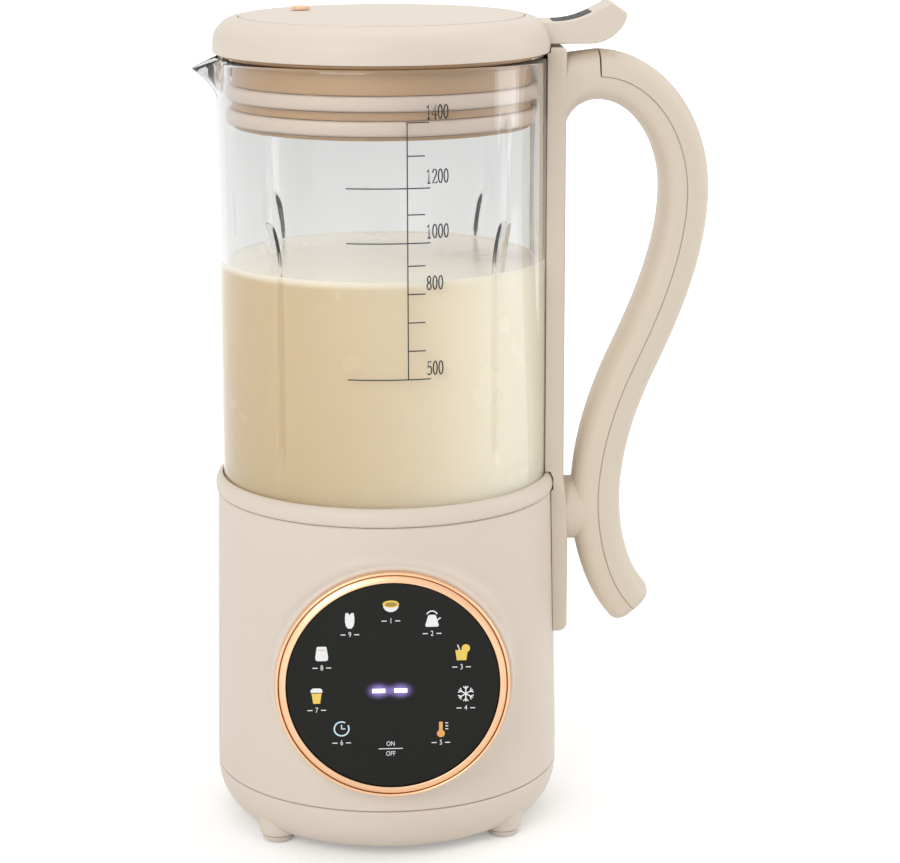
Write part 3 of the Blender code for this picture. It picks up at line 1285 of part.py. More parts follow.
def make_blades():
    bore = SHAFT_RADIUS + GAP
    lower_bottom = PLATE_TOP + BLADE_FLOOR_GAP
    spacer_bottom = lower_bottom + BLADE_THICKNESS + GAP
    upper_bottom = spacer_bottom + BLADE_SPACER_HEIGHT + GAP
    nut_bottom = upper_bottom + BLADE_THICKNESS + GAP
    for level, reach, lift, bottom, turn in (
        ("lower", LOWER_BLADE_REACH, -LOWER_BLADE_DROOP, lower_bottom, 0.0),
        ("upper", UPPER_BLADE_REACH, UPPER_BLADE_LIFT, upper_bottom, 90.0),
    ):
        blade = loft(f"{level}_blade", blade_rings(reach, lift, bottom), "steel", turn=(0.0, 0.0, turn))
        cut(blade, rod(f"{level}_blade_hole", bore, bottom - OVERRUN, bottom + BLADE_THICKNESS + OVERRUN, None))
    spacer = [
        (bore, spacer_bottom + BLADE_SPACER_HEIGHT),
        (BLADE_SPACER_RADIUS, spacer_bottom + BLADE_SPACER_HEIGHT),
        (BLADE_SPACER_RADIUS, spacer_bottom),
        (bore, spacer_bottom),
    ]
    turned("blade_spacer", spacer, "steel", steps=PIN_STEPS)
    nut_radius = NUT_ACROSS / (2 * math.cos(math.radians(30)))
    nut = rod("blade_nut", nut_radius, nut_bottom, nut_bottom + NUT_HEIGHT, "steel", steps=6)
    cut(nut, rod("nut_hole", bore, nut_bottom - OVERRUN, nut_bottom + NUT_HEIGHT + OVERRUN, None))


def superellipse(angle):
    """Shares of half thickness and half width at an angle round the handle's section."""
    power = 2 / HANDLE_SQUARENESS
    across, along = math.cos(angle), math.sin(angle)
    return math.copysign(abs(across) ** power, across), math.copysign(abs(along) ** power, along)


def handle_section(centre, direction, half_thickness, half_width, low=None, high=None):
    """One ring of the handle: its full section, or the part below or above the seam."""
    outward = Vector((-direction[1], direction[0]))
    ring = []
    for index in range(HANDLE_SECTION_POINTS):
        thick, wide = superellipse(2 * math.pi * index / HANDLE_SECTION_POINTS)
        across = half_thickness * thick
        side = half_width * wide
        if high is not None and across > high:
            across = high
        if low is not None and across < low:
            across = low
        point = Vector(centre) + outward * across
        ring.append((point[0], side, point[1]))
    return ring


def spread_seam(ring, inner):
    """Sets the points on the flat seam side evenly apart, so that none of them fall together."""
    count = len(ring)
    quarter = count // 4
    if inner:
        first, last, span = count - quarter, quarter, 2 * quarter
    else:
        first, last, span = quarter, count - quarter, 2 * quarter
    start, end = Vector(ring[first]), Vector(ring[last])
    for step in range(1, span):
        ring[(first + step) % count] = tuple(start.lerp(end, step / span))
    return ring


def handle_knots():
    middle = HANDLE_THICKNESS / 2
    bend = math.radians(HANDLE_BEND_LEAN)
    tip = math.radians(HANDLE_TIP_LEAN)
    return [
        (Vector((SPINE_FACE + HANDLE_START_OUT, SPINE_TOP - HANDLE_TOP_DROP)), Vector((1.0, 0.0))),
        (Vector((HANDLE_OUT - middle, SPINE_TOP - HANDLE_BULGE_DROP)), Vector((0.0, -1.0))),
        (Vector((SPINE_FACE + HANDLE_BEND_OUT, SPINE_TOP - HANDLE_BEND_DROP)),
         Vector((-math.sin(bend), -math.cos(bend)))),
        (Vector((SPINE_FACE + HANDLE_WAIST_OUT, BOSS_HEIGHT + HANDLE_WAIST_RISE)), Vector((0.0, -1.0))),
        (Vector((SPINE_FACE + HANDLE_TIP_OUT, BOSS_HEIGHT - HANDLE_TIP_DROP)),
         Vector((math.sin(tip), -math.cos(tip)))),
    ]


def handle_path():
    """Stations along the handle's centre line, each a point and a direction in the XZ plane."""
    knots = handle_knots()
    points = []
    for index, ((start, heading), (end, arriving)) in enumerate(zip(knots, knots[1:])):
        ease = SWEEP_EASE_SHARE if index else ARCH_EASE_SHARE
        reach = end - start
        leaving = start + heading * ease * abs(reach.dot(heading))
        coming = end - arriving * ease * abs(reach.dot(arriving))
        span = interpolate_bezier(start, leaving, coming, end, HANDLE_STATIONS)
        points += [point.to_2d() for point in span[:-1]]
    points.append(knots[-1][0])
    stations = [(points[0], knots[0][1])]
    for before, point, after in zip(points, points[1:], points[2:]):
        stations.append((point, (after - before).normalized()))
    stations.append((points[-1], knots[-1][1]))
    return stations


def handle_rings(inner, start):
    """Rings of one shell along the path, from a small step past the path's start to the tip."""
    limits = {"high": -GAP / 2} if inner else {"low": GAP / 2}
    stations = handle_path()
    first, heading = stations[0]
    rows = [(first + heading * start, heading, 1.0)]
    rows += [(point, direction, 1.0) for point, direction in stations[1:]]
    end, heading = stations[-1]
    for share in HANDLE_TIP_SHARES:
        size = (1.0 - share ** HANDLE_SQUARENESS) ** (1.0 / HANDLE_SQUARENESS)
        rows.append((end + heading * HANDLE_TIP_ROUND * share, heading, size))
    rings = []
    for point, direction, size in rows:
        ring = handle_section(
            point, direction, HANDLE_THICKNESS / 2 * size, HANDLE_HALF_WIDTH * size, **limits
        )
        rings.append(spread_seam(ring, inner))
    return rings


def bridge_rings():
    """Full sections from inside the spine out to the start of the path, flared under like a fillet."""
    start = Vector((SPINE_FACE + HANDLE_START_OUT, SPINE_TOP - HANDLE_TOP_DROP))
    half = HANDLE_THICKNESS / 2
    top_end = start[1] + half
    under_end = start[1] - half
    rings = []
    for share in BRIDGE_SHARES:
        out = SPINE_FACE + HANDLE_START_OUT * share
        back = min(1.0, 1.0 - share)
        top = top_end - BRIDGE_SHOULDER_DROP * back
        under = under_end - BRIDGE_FILLET * (1.0 - math.sqrt(1.0 - back ** 2))
        rings.append(
            handle_section((out, (top + under) / 2), (1.0, 0.0), (top - under) / 2, HANDLE_HALF_WIDTH)
        )
    return rings


def make_handle():
    inner = loft("handle_inner_shell", bridge_rings() + handle_rings(True, GAP), "cream plastic")
    spine = place("spine", outline_mesh("spine", [spine_outline()], 2 * SPINE_HALF_WIDTH), None,
                  turn=(90.0, 0.0, 0.0))
    bevel_edges(spine, SPINE_EDGE)
    join(inner, spine)
    boss_end = SPINE_FACE + HANDLE_WAIST_OUT - BOSS_SINK
    join(inner, rod("handle_boss", BOSS_RADIUS, JUG_RADIUS, boss_end, None, steps=MOTOR_STEPS,
                    at=(0.0, 0.0, BOSS_HEIGHT), turn=(0.0, 90.0, 0.0)))
    cut(inner, turned("body_clearance", body_clearance_profile(), None))
    reed_height = SPINE_TOP - REED_DROP
    pocket = REED_RADIUS + GAP
    reed_place = JUG_RADIUS + pocket + GAP
    half = REED_LENGTH / 2 + GAP
    cut(inner, block("reed_pocket", (JUG_BORE, -half, reed_height - pocket),
                     (reed_place + pocket, half, reed_height + pocket), None))
    rod("lid_reed_switch", REED_RADIUS, -REED_LENGTH / 2, REED_LENGTH / 2, "clear glass",
        at=(reed_place, 0.0, reed_height), turn=(90.0, 0.0, 0.0))
    facets = math.cos(math.pi / TURN_STEPS)
    for level, height, length in (
        ("upper", HANDLE_SCREW_HEIGHT, HANDLE_SCREW_LENGTH),
        ("lower", LOWER_SCREW_HEIGHT, LOWER_SCREW_LENGTH),
    ):
        seat = (base_radius(height) - BASE_WALL) * facets - GAP
        lying = {"at": (0.0, 0.0, height), "turn": (0.0, 90.0, 0.0)}
        screw_at(f"handle_screw_{level}", seat, length, **lying)
        cut(inner, rod(f"handle_pilot_{level}", SCREW_RADIUS + GAP, seat, seat + length + GAP, None, **lying))
    loft("handle_outer_shell", handle_rings(False, 2 * GAP), "cream plastic")


def spine_outline():
    """Side outline of the spine, from inside the glass line out to its face and down to its foot."""
    inside = JUG_BORE
    foot = SPINE_FACE + SPINE_STEP
    corner = SPINE_CORNER
    return [
        (inside, SPINE_TOP),
        (SPINE_FACE, SPINE_TOP),
        (SPINE_FACE, SPINE_STEP_TOP),
        (foot, SPINE_STEP_BOTTOM),
        *arc((foot - corner, SPINE_BOTTOM + corner), (corner, corner), 0, -90, 3),
        (inside, SPINE_BOTTOM),
    ]


def body_clearance_profile():
    """Everything the spine must stay clear of, from above the lid's skirt to below the spine."""
    lid = LID_RADIUS + RUNNING_GAP
    glass = JUG_RADIUS + GAP
    collar = COLLAR_RADIUS + GAP
    top = SPINE_TOP + OVERRUN
    foot = SPINE_BOTTOM - OVERRUN
    return [
        (0.0, top),
        (lid, top),
        (lid, LID_FOOT - GAP),
        (glass, LID_FOOT - GAP),
        (glass, COLLAR_TOP + GAP),
        (collar - COLLAR_LOWER_CURVE / 2, COLLAR_TOP + GAP),
        (collar, COLLAR_TOP - COLLAR_LOWER_CURVE),
        (collar, COLLAR_FOOT),
        (BASE_TOP_RADIUS + GAP, BASE_HEIGHT),
        (base_radius(foot) + GAP, foot),
        (0.0, foot),
    ]


def tab_top():
    """The dished top of the lid's tab, from its raised tip back to where it runs level."""
    peak = Vector((JUG_RADIUS + TAB_REACH - TAB_PEAK_BACK, TAB_UNDERSIDE + TAB_PEAK_RISE))
    level = Vector((JUG_RADIUS + TAB_DISH_START, TAB_UNDERSIDE + TAB_THICKNESS))
    run = peak[0] - level[0]
    along, down = TAB_STEEP_SHARES
    steep = peak - Vector((run * along, (peak[1] - level[1]) * down))
    flat = level + Vector((run * TAB_LEVEL_SHARE, 0.0))
    return [point.to_2d() for point in interpolate_bezier(peak, steep, flat, level, 7)]


def tab_outline():
    """The tab's side, from its root within the wall of the lid out to its tip and back along its top."""
    tip = Vector((JUG_RADIUS + TAB_REACH, TAB_UNDERSIDE + TAB_TIP_RISE))
    flat_end = Vector((JUG_RADIUS + TAB_FLAT, TAB_UNDERSIDE))
    ahead = flat_end + Vector(((tip[0] - flat_end[0]) / 2, 0.0))
    below = tip - Vector((0.0, TAB_TIP_RISE / 2))
    under = [point.to_2d() for point in interpolate_bezier(flat_end, ahead, below, tip, 6)]
    return [
        (TAB_ROOT, TAB_UNDERSIDE),
        *[tuple(point) for point in under],
        *[tuple(point) for point in tab_top()],
        (TAB_ROOT_TOP, TAB_UNDERSIDE + TAB_THICKNESS),
    ]


def make_lid_cover():
    inside = LID_RADIUS - LID_WALL
    inner_corner = LID_DISC_RADIUS - LID_DECK
    shoulder = arc(
        (LID_DISC_RADIUS, LID_FOOT + LID_SKIRT_HEIGHT),
        (LID_RADIUS - LID_DISC_RADIUS, LID_HEIGHT - LID_SKIRT_HEIGHT), 90, 0, 4,
    )
    dome = [
        (0.0, LID_DECK_TOP),
        (LID_DISC_RADIUS, LID_DECK_TOP),
        *shoulder,
        (LID_RADIUS, LID_FOOT),
        (inside, LID_FOOT),
        (inside, LID_FOOT + LID_SKIRT_HEIGHT),
        ((inside + inner_corner) / 2 + LID_DECK / 2, LID_EDGE - 2 * LID_WALL),
        (inner_corner, LID_DECK_UNDERSIDE),
        (0.0, LID_DECK_UNDERSIDE),
    ]
    cover = turned("lid_cover", dome, "cream plastic")
    tab = place("lid_tab", prism_mesh("lid_tab", tab_outline(), 2 * TAB_HALF_WIDTH), None, turn=(90.0, 0.0, 0.0))
    bevel_edges(tab, TAB_EDGE)
    join(cover, tab)
    vent = (*VENT_PLACE, 0.0)
    cut(cover, rod("cover_vent", VENT_HOLE_RADIUS, LID_DECK_UNDERSIDE - OVERRUN, LID_EDGE + OVERRUN, None, at=vent))
    pocket_top = TAB_UNDERSIDE + MAGNET_THICKNESS + 2 * GAP
    spot = (MAGNET_PLACE, 0.0, 0.0)
    cut(cover, rod("magnet_pocket", MAGNET_RADIUS + GAP, TAB_UNDERSIDE - OVERRUN, pocket_top, None, at=spot))
    magnet_bottom = TAB_UNDERSIDE + GAP
    rod("lid_magnet", MAGNET_RADIUS, magnet_bottom, magnet_bottom + MAGNET_THICKNESS, "steel", at=spot)
    recess = grip_outline(GRIP_THICKNESS + GAP, TAB_PEAK_RISE, GAP)
    width = 2 * (GRIP_HALF_WIDTH + GAP)
    cut(cover, place("grip_recess", outline_mesh("grip_recess", [recess], width), None, turn=(90.0, 0.0, 0.0)))
    grip = grip_outline(GRIP_THICKNESS, GAP, 0.0)
    place("lid_tab_pad", outline_mesh("lid_tab_pad", [grip], 2 * GRIP_HALF_WIDTH), "grey rubber",
          turn=(90.0, 0.0, 0.0))


def grip_outline(below, above, longer):
    """A band along the tab's dished top, some way below it and above it."""
    start = JUG_RADIUS + GRIP_START - longer
    end = JUG_RADIUS + GRIP_END + longer
    dish = tab_top()
    dish.reverse()
    line = [Vector((start, height_on(dish, start)))]
    line += [point for point in dish if start < point[0] < end]
    line.append(Vector((end, height_on(dish, end))))
    low = [(point[0], point[1] - below) for point in line]
    high = [(point[0], point[1] + above) for point in line]
    return low + high[::-1]


def height_on(line, out):
    """Height of a line of points at one distance out, level beyond its ends."""
    if out <= line[0][0]:
        return line[0][1]
    for before, after in zip(line, line[1:]):
        if out <= after[0]:
            return before[1] + (after[1] - before[1]) * (out - before[0]) / (after[0] - before[0])
    return line[-1][1]


def make_lid_disc_and_vent():
    bottom = LID_DECK_TOP + GAP
    radius = LID_DISC_RADIUS - GAP
    out_share, up_share = DISC_CROWN_SHARES
    profile = [
        (0.0, DISC_TOP + LID_DISC_CROWN),
        (radius * out_share, DISC_TOP + LID_DISC_CROWN * up_share),
        (radius, DISC_TOP),
        (radius, bottom),
        (0.0, bottom),
    ]
    disc = turned("lid_top_disc", profile, "cream plastic")
    vent = (*VENT_PLACE, 0.0)
    cut(disc, rod("disc_vent", VENT_HOLE_RADIUS, bottom - OVERRUN, DISC_TOP + OVERRUN, None, at=vent))
    cap_bottom = DISC_TOP + LID_DISC_CROWN
    stem = VENT_HOLE_RADIUS - GAP
    out_share, up_share = VENT_CAP_SHOULDER_SHARES
    cap = [
        (0.0, cap_bottom + VENT_CAP_HEIGHT),
        (VENT_CAP_RADIUS * out_share, cap_bottom + VENT_CAP_HEIGHT),
        (VENT_CAP_RADIUS, cap_bottom + VENT_CAP_HEIGHT * up_share),
        (VENT_CAP_RADIUS, cap_bottom),
        (stem, cap_bottom),
        (stem, cap_bottom - VENT_STEM_LENGTH),
        (0.0, cap_bottom - VENT_STEM_LENGTH),
    ]
    turned("steam_vent_cap", cap, "peach plastic", steps=PIN_STEPS, at=vent)


def make_lid_plug():
    inside = PLUG_RADIUS - PLUG_WALL
    bottom = JUG_RIM - PLUG_DEPTH
    floor = bottom + PLUG_FLOOR
    flange_bottom = JUG_RIM + GAP
    flange_top = flange_bottom + PLUG_FLANGE_THICKNESS
    groove = PLUG_RADIUS - RING_GROOVE
    profile = [
        (0.0, floor),
        (inside, floor),
        (inside, flange_top),
        (PLUG_FLANGE_RADIUS, flange_top),
        (PLUG_FLANGE_RADIUS, flange_bottom),
        (PLUG_RADIUS, flange_bottom),
    ]
    for drop in (UPPER_RING_DROP, LOWER_RING_DROP):
        groove_top = JUG_RIM - drop + GAP
        groove_bottom = JUG_RIM - drop - RING_HEIGHT - GAP
        profile += [(PLUG_RADIUS, groove_top), (groove, groove_top), (groove, groove_bottom)]
        profile.append((PLUG_RADIUS, groove_bottom))
    profile += [(PLUG_RADIUS, bottom), (0.0, bottom)]
    plug = turned("lid_plug", profile, "tan plastic")
    vent = (*VENT_PLACE, 0.0)
    cut(plug, rod("plug_vent", VENT_HOLE_RADIUS, bottom - OVERRUN, floor + OVERRUN, None, at=vent))
    lip = JUG_BORE - GLASS_GAP
    bore = groove + GAP
    for level, drop in (("upper", UPPER_RING_DROP), ("lower", LOWER_RING_DROP)):
        ring_top = JUG_RIM - drop
        ring_bottom = ring_top - RING_HEIGHT
        ring = [
            (bore, ring_top),
            (lip - RING_LIP, ring_top),
            (lip, ring_top - RING_LIP),
            (PLUG_RADIUS + RING_LIP, (ring_top + ring_bottom) / 2),
            (lip, ring_bottom + RING_LIP),
            (bore, ring_bottom),
        ]
        turned(f"lid_seal_{level}", ring, "pale silicone")


def main():
    clear_scene()
    prepare_collections()
    make_bottom_cover()
    make_feet_and_base_screws()
    make_base_housing()
    make_panel()
    make_power_inlet()
    make_power_board()
    make_collar_and_gasket()
    make_glass_jug()
    make_heating_plate()
    make_heating_element()
    make_shaft_seal()
    make_motor_brackets()
    make_bearings()
    make_stator_and_coils()
    make_rotor()
    make_brush_holders()
    make_cooling_fan()
    make_blades()
    make_handle()
    make_lid_cover()
    make_lid_disc_and_vent()
    make_lid_plug()


main()
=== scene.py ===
# %% [markdown]
# # A nut milk maker with a glass jug
# This lesson dresses a countertop nut milk maker: a round base with a touch panel, a glass jug
# half full of milk, an S-shaped handle and a lift-off lid. The working parts come in as a fixed
# frame, already in place and in real metres. What follows gives the pieces that show their fine
# curves and their finishes.

# %% Load the frame
import json
import math

import bmesh
import bpy
from mathutils import Matrix, Vector
from mathutils.geometry import interpolate_bezier


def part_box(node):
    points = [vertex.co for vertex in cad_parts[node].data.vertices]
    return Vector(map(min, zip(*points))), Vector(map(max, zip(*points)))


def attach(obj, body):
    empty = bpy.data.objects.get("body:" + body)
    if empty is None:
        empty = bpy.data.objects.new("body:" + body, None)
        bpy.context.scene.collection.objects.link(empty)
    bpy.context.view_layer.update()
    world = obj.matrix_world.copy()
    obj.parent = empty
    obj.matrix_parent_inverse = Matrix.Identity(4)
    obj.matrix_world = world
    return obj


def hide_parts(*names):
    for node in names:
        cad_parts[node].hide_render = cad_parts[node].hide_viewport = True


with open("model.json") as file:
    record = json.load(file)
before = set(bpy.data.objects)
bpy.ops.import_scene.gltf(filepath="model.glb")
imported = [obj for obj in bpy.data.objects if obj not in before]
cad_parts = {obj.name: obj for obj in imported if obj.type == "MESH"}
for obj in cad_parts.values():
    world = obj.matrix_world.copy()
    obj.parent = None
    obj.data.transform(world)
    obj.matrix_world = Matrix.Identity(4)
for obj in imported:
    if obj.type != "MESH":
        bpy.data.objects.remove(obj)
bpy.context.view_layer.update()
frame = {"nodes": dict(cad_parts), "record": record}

# %% [markdown]
# ## Where things are
# Jug, base, collar, lid and motor share one upright axis. The motor shaft stands on it, so the
# middle of that piece's box is the axis. Sizes below are in millimetres from the axis and from
# the worktop, which keeps the numbers as a maker would write them on a drawing.

# %% The shared axis
MM = 0.001
ROUND, SMALL_ROUND = 192, 64
shaft_low, shaft_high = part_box("motor_shaft")
AXIS = Vector(((shaft_low.x + shaft_high.x) / 2, (shaft_low.y + shaft_high.y) / 2, 0.0))
print("axis at", [round(value / MM, 2) for value in AXIS])


def spot(across, deep, up):
    """A point in metres from millimetres to the right of, behind and above the axis's foot."""
    return AXIS + Vector((across, deep, up)) * MM


def around(radius, degrees, height=0.0):
    angle = math.radians(degrees)
    return (radius * math.cos(angle), radius * math.sin(angle), height)


# %% [markdown]
# ## Small tools for working by hand
# Blender's operators act on whatever is selected, so each step first clears the selection. A
# round piece starts as a circle that is extruded and scaled ring by ring up its outline, which
# is the same as turning it on a lathe. A slab starts as a flat outline that is extruded to its
# width, and a skin starts as a grid whose points are set on a curved surface.

# %% Selecting
def begin():
    if bpy.context.mode != "OBJECT":
        bpy.ops.object.mode_set(mode="OBJECT")
    bpy.ops.object.select_all(action="DESELECT")


def pick(piece):
    begin()
    piece.select_set(True)
    bpy.context.view_layer.objects.active = piece


def named(name):
    piece = bpy.context.object
    piece.name = name
    piece.data.name = name
    return piece


def face_outward():
    """Points the faces of the mesh outwards and leaves edit mode."""
    bpy.ops.mesh.select_all(action="SELECT")
    bpy.ops.mesh.normals_make_consistent(inside=False)
    bpy.ops.object.mode_set(mode="OBJECT")


# %% Rounding, cutting and fusing
def shaped(piece, kind, **settings):
    """Gives the piece a modifier and applies it."""
    pick(piece)
    step = piece.modifiers.new("Shaping", kind)
    for setting, value in settings.items():
        setattr(step, setting, value)
    bpy.ops.object.modifier_apply(modifier=step.name)
    return piece


def soften(piece, width, segments=3, angle=30.0):
    """Rounds every edge sharper than the angle, as a mould's small radii do."""
    return shaped(piece, "BEVEL", width=width * MM, segments=segments, limit_method="ANGLE",
                  angle_limit=math.radians(angle))


def trim(piece, tool, operation="DIFFERENCE"):
    """Cuts the tool's shape out of the piece, or fuses it on, and removes the tool."""
    shaped(piece, "BOOLEAN", operation=operation, solver="EXACT", object=tool)
    bpy.data.objects.remove(tool, do_unlink=True)


def fuse(piece, tool):
    trim(piece, tool, "UNION")


# %% Finishing a piece
def settle(piece, body, slot, stands_for=(), angle=35.0, material=None):
    """Puts a finished piece's place into its mesh, shades it and lets it ride on its body."""
    pick(piece)
    bpy.ops.object.transform_apply(location=True, rotation=True, scale=True)
    bpy.ops.object.shade_smooth_by_angle(angle=math.radians(angle))
    piece.data.materials.clear()
    piece.data.materials.append(material or FINISH[slot])
    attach(piece, body)
    if stands_for:
        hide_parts(*stands_for)
    low, high = (Vector(corner) for corner in (piece.bound_box[0], piece.bound_box[6]))
    size = ", ".join(f"{value / MM:.1f}" for value in high - low)
    print(f"{piece.name}: {len(piece.data.polygons)} faces, {size} mm")


# %% [markdown]
# ### Turning
# The circle tool gives the first ring. Each extrusion carries it to the next height, and a
# scale about the axis gives it the next radius. The last ring closes on itself, or draws in to a
# single point on the axis.

# %% Outlines with rounded corners
def quarter(centre, radii, start, end, steps=8):
    """Points of a rounded corner in an outline, 0 degrees pointing out and 90 up."""
    found = []
    for index in range(steps + 1):
        angle = math.radians(start + (end - start) * index / steps)
        found.append((centre[0] + radii[0] * math.cos(angle), centre[1] + radii[1] * math.sin(angle)))
    return found


def oval(centre, radii, steps=24):
    return quarter(centre, radii, 0, 360, steps)[:-1]


# %% A lathe made of extrusions
WELD = 0.002 * MM


def extrude_rings(rings, centre):
    radius, height = rings[0]
    for wider, higher in rings[1:]:
        rise = (0.0, 0.0, (higher - height) * MM)
        bpy.ops.mesh.extrude_edges_move(TRANSFORM_OT_translate={"value": rise})
        share = wider / radius
        at = (centre.x, centre.y, higher * MM)
        bpy.ops.transform.resize(value=(share, share, 1.0), center_override=at)
        radius, height = wider, higher


def close_on_axis():
    bpy.ops.mesh.extrude_edges_move()
    bpy.ops.mesh.merge(type="CENTER")


def turned(name, rings, back=(), steps=ROUND, centre=AXIS):
    """Rings of (radius, height) whose two ends close on the axis, or a closed ring where back is None."""
    begin()
    first = (centre.x, centre.y, rings[0][1] * MM)
    bpy.ops.mesh.primitive_circle_add(vertices=steps, radius=rings[0][0] * MM, location=first)
    piece = named(name)
    bpy.ops.object.mode_set(mode="EDIT")
    bpy.ops.mesh.select_mode(type="EDGE")
    bpy.ops.mesh.select_all(action="SELECT")
    if back is None:
        extrude_rings([*rings, rings[0]], centre)
        bpy.ops.mesh.select_all(action="SELECT")
        bpy.ops.mesh.remove_doubles(threshold=WELD)
    else:
        extrude_rings(rings, centre)
        close_on_axis()
        shape = bmesh.from_edit_mesh(piece.data)
        bpy.ops.mesh.select_all(action="DESELECT")
        shape.verts.ensure_lookup_table()
        for index in range(steps):
            shape.verts[index].select = True
        shape.select_flush(True)
        bmesh.update_edit_mesh(piece.data)
        extrude_rings([rings[0], *back], centre)
        close_on_axis()
    face_outward()
    return piece


# %% [markdown]
# ### Slabs and skins
# A slab is for parts with one outline and a width, such as the spine behind the handle. A skin
# is for surfaces that no outline describes: a flat grid is added, its rows and columns are laid
# on the real surface one by one, and its edges are welded where they meet.

# %% Slab
def thicken(depth):
    """Gives a flat upright mesh a depth towards the back."""
    bpy.ops.object.mode_set(mode="EDIT")
    bpy.ops.mesh.select_all(action="SELECT")
    bpy.ops.mesh.extrude_region_move(TRANSFORM_OT_translate={"value": (0.0, depth * MM, 0.0)})
    face_outward()


def slab(name, outline, width, front=None):
    """An upright slab with (out, up) points as its outline, across the middle or from a front face."""
    begin()
    bpy.ops.mesh.primitive_circle_add(vertices=len(outline), radius=MM, fill_type="NGON", location=AXIS)
    piece = named(name)
    front = -width / 2 if front is None else front
    for vertex, (out, up) in zip(piece.data.vertices, outline):
        vertex.co = (out * MM, front * MM, up * MM)
    thicken(width)
    return piece


# %% Skin
def skin(name, rows, wraps=True, caps=True):
    """A grid laid on rows of points in millimetres from the axis, welded where its edges meet."""
    begin()
    columns = len(rows[0]) + (1 if wraps else 0)
    bpy.ops.mesh.primitive_grid_add(
        x_subdivisions=columns - 1, y_subdivisions=len(rows) - 1, size=MM, location=AXIS
    )
    piece = named(name)
    points = [row[index % len(row)] for row in rows for index in range(columns)]
    for vertex, point in zip(piece.data.vertices, points):
        vertex.co = Vector(point) * MM
    bpy.ops.object.mode_set(mode="EDIT")
    bpy.ops.mesh.select_all(action="SELECT")
    bpy.ops.mesh.remove_doubles(threshold=WELD)
    if caps:
        bpy.ops.mesh.select_all(action="DESELECT")
        bpy.ops.mesh.select_mode(type="EDGE")
        bpy.ops.mesh.select_non_manifold()
        bpy.ops.mesh.edge_face_add()
    face_outward()
    return piece


# %% Block and rod
def box(name, low, high):
    """A block between two corners, in millimetres from the axis."""
    begin()
    low, high = Vector(low), Vector(high)
    bpy.ops.mesh.primitive_cube_add(size=1.0, location=spot(*((low + high) / 2)))
    piece = named(name)
    piece.scale = (high - low) * MM
    bpy.ops.object.transform_apply(location=False, rotation=False, scale=True)
    return piece


def rod(name, radius, start, end, steps=SMALL_ROUND):
    """A round bar between two points, in millimetres from the axis."""
    begin()
    start, end = Vector(start), Vector(end)
    middle = spot(*((start + end) / 2))
    length = (end - start).length * MM
    bpy.ops.mesh.primitive_cylinder_add(vertices=steps, radius=radius * MM, depth=length, location=middle)
    piece = named(name)
    piece.rotation_mode = "QUATERNION"
    piece.rotation_quaternion = (end - start).to_track_quat("Z", "Y")
    bpy.ops.object.transform_apply(location=False, rotation=True, scale=False)
    return piece


# %% [markdown]
# ## Finishes
# Every finish is a small node tree on Object coordinates, so a pattern has a real size on every
# piece. Moulded plastic is never one flat colour: pigment varies a little over centimetres, and
# a spark-eroded mould leaves a fine grain that softens the gloss. One helper makes that family,
# and metals and glass get their own values.

# %% Nodes, one line each
def feed(tree, socket, value):
    """Wires a node's output into a socket, or sets the socket to a value."""
    if isinstance(value, bpy.types.NodeSocket):
        tree.links.new(value, socket)
    else:
        socket.default_value = (*value, 1.0) if socket.type == "RGBA" else value


def add_node(tree, kind, inputs=(), **settings):
    made = tree.nodes.new("ShaderNode" + kind)
    for setting, value in settings.items():
        setattr(made, setting, value)
    for name, value in dict(inputs).items():
        feed(tree, made.inputs[name], value)
    return made


def object_place(tree):
    return add_node(tree, "TexCoord").outputs["Object"]


def reckon(tree, operation, *values, clamp=False):
    return add_node(tree, "Math", dict(enumerate(values)), operation=operation, use_clamp=clamp).outputs[0]


def ramp(tree, value, start, end, low=0.0, high=1.0, curve="LINEAR"):
    """Turns a value that runs from start to end into one that runs from low to high."""
    limits = {"From Min": start, "From Max": end, "To Min": low, "To Max": high}
    made = add_node(tree, "MapRange", {"Value": value, **limits}, interpolation_type=curve)
    return made.outputs["Result"]


def noise(tree, where, scale, detail):
    made = add_node(tree, "TexNoise", {"Vector": where, "Scale": scale, "Detail": detail})
    return made.outputs["Fac"]


def mixed(tree, share, first, second, **settings):
    colours = {"Factor": share, "A": first, "B": second}
    return add_node(tree, "Mix", colours, data_type="RGBA", **settings).outputs["Result"]


# %% A finish with colour drift, uneven gloss and grain
GRAIN_DEPTH = 0.1 * MM
CLOUD_DETAIL, GRAIN_DETAIL = 4.0, 2.0


def finish(name, deep, pale, drift=18.0, gloss=(0.38, 0.46), grain=1400.0, relief=0.03,
           stretch=(1.0, 1.0, 1.0), **sockets):
    """Between two colours and two gloss levels. More sockets of the shader are named with _ for a space."""
    made = bpy.data.materials.new(name)
    made.use_nodes = True
    tree = made.node_tree
    spread = add_node(tree, "Mapping", {"Vector": object_place(tree), "Scale": stretch}).outputs["Vector"]
    cloud = noise(tree, spread, drift, CLOUD_DETAIL)
    fine = noise(tree, spread, grain, GRAIN_DETAIL)
    bump = add_node(tree, "Bump", {"Strength": relief, "Distance": GRAIN_DEPTH, "Height": fine})
    looks = {
        "Base Color": mixed(tree, cloud, deep, pale, name="Colour"),
        "Roughness": ramp(tree, fine, 0.0, 1.0, *gloss),
        "Normal": bump.outputs["Normal"],
    }
    looks.update({socket.replace("_", " "): value for socket, value in sockets.items()})
    for socket, value in looks.items():
        feed(tree, tree.nodes["Principled BSDF"].inputs[socket], value)
    return made


def show(made, surface):
    feed(made.node_tree, made.node_tree.nodes["Material Output"].inputs["Surface"], surface)


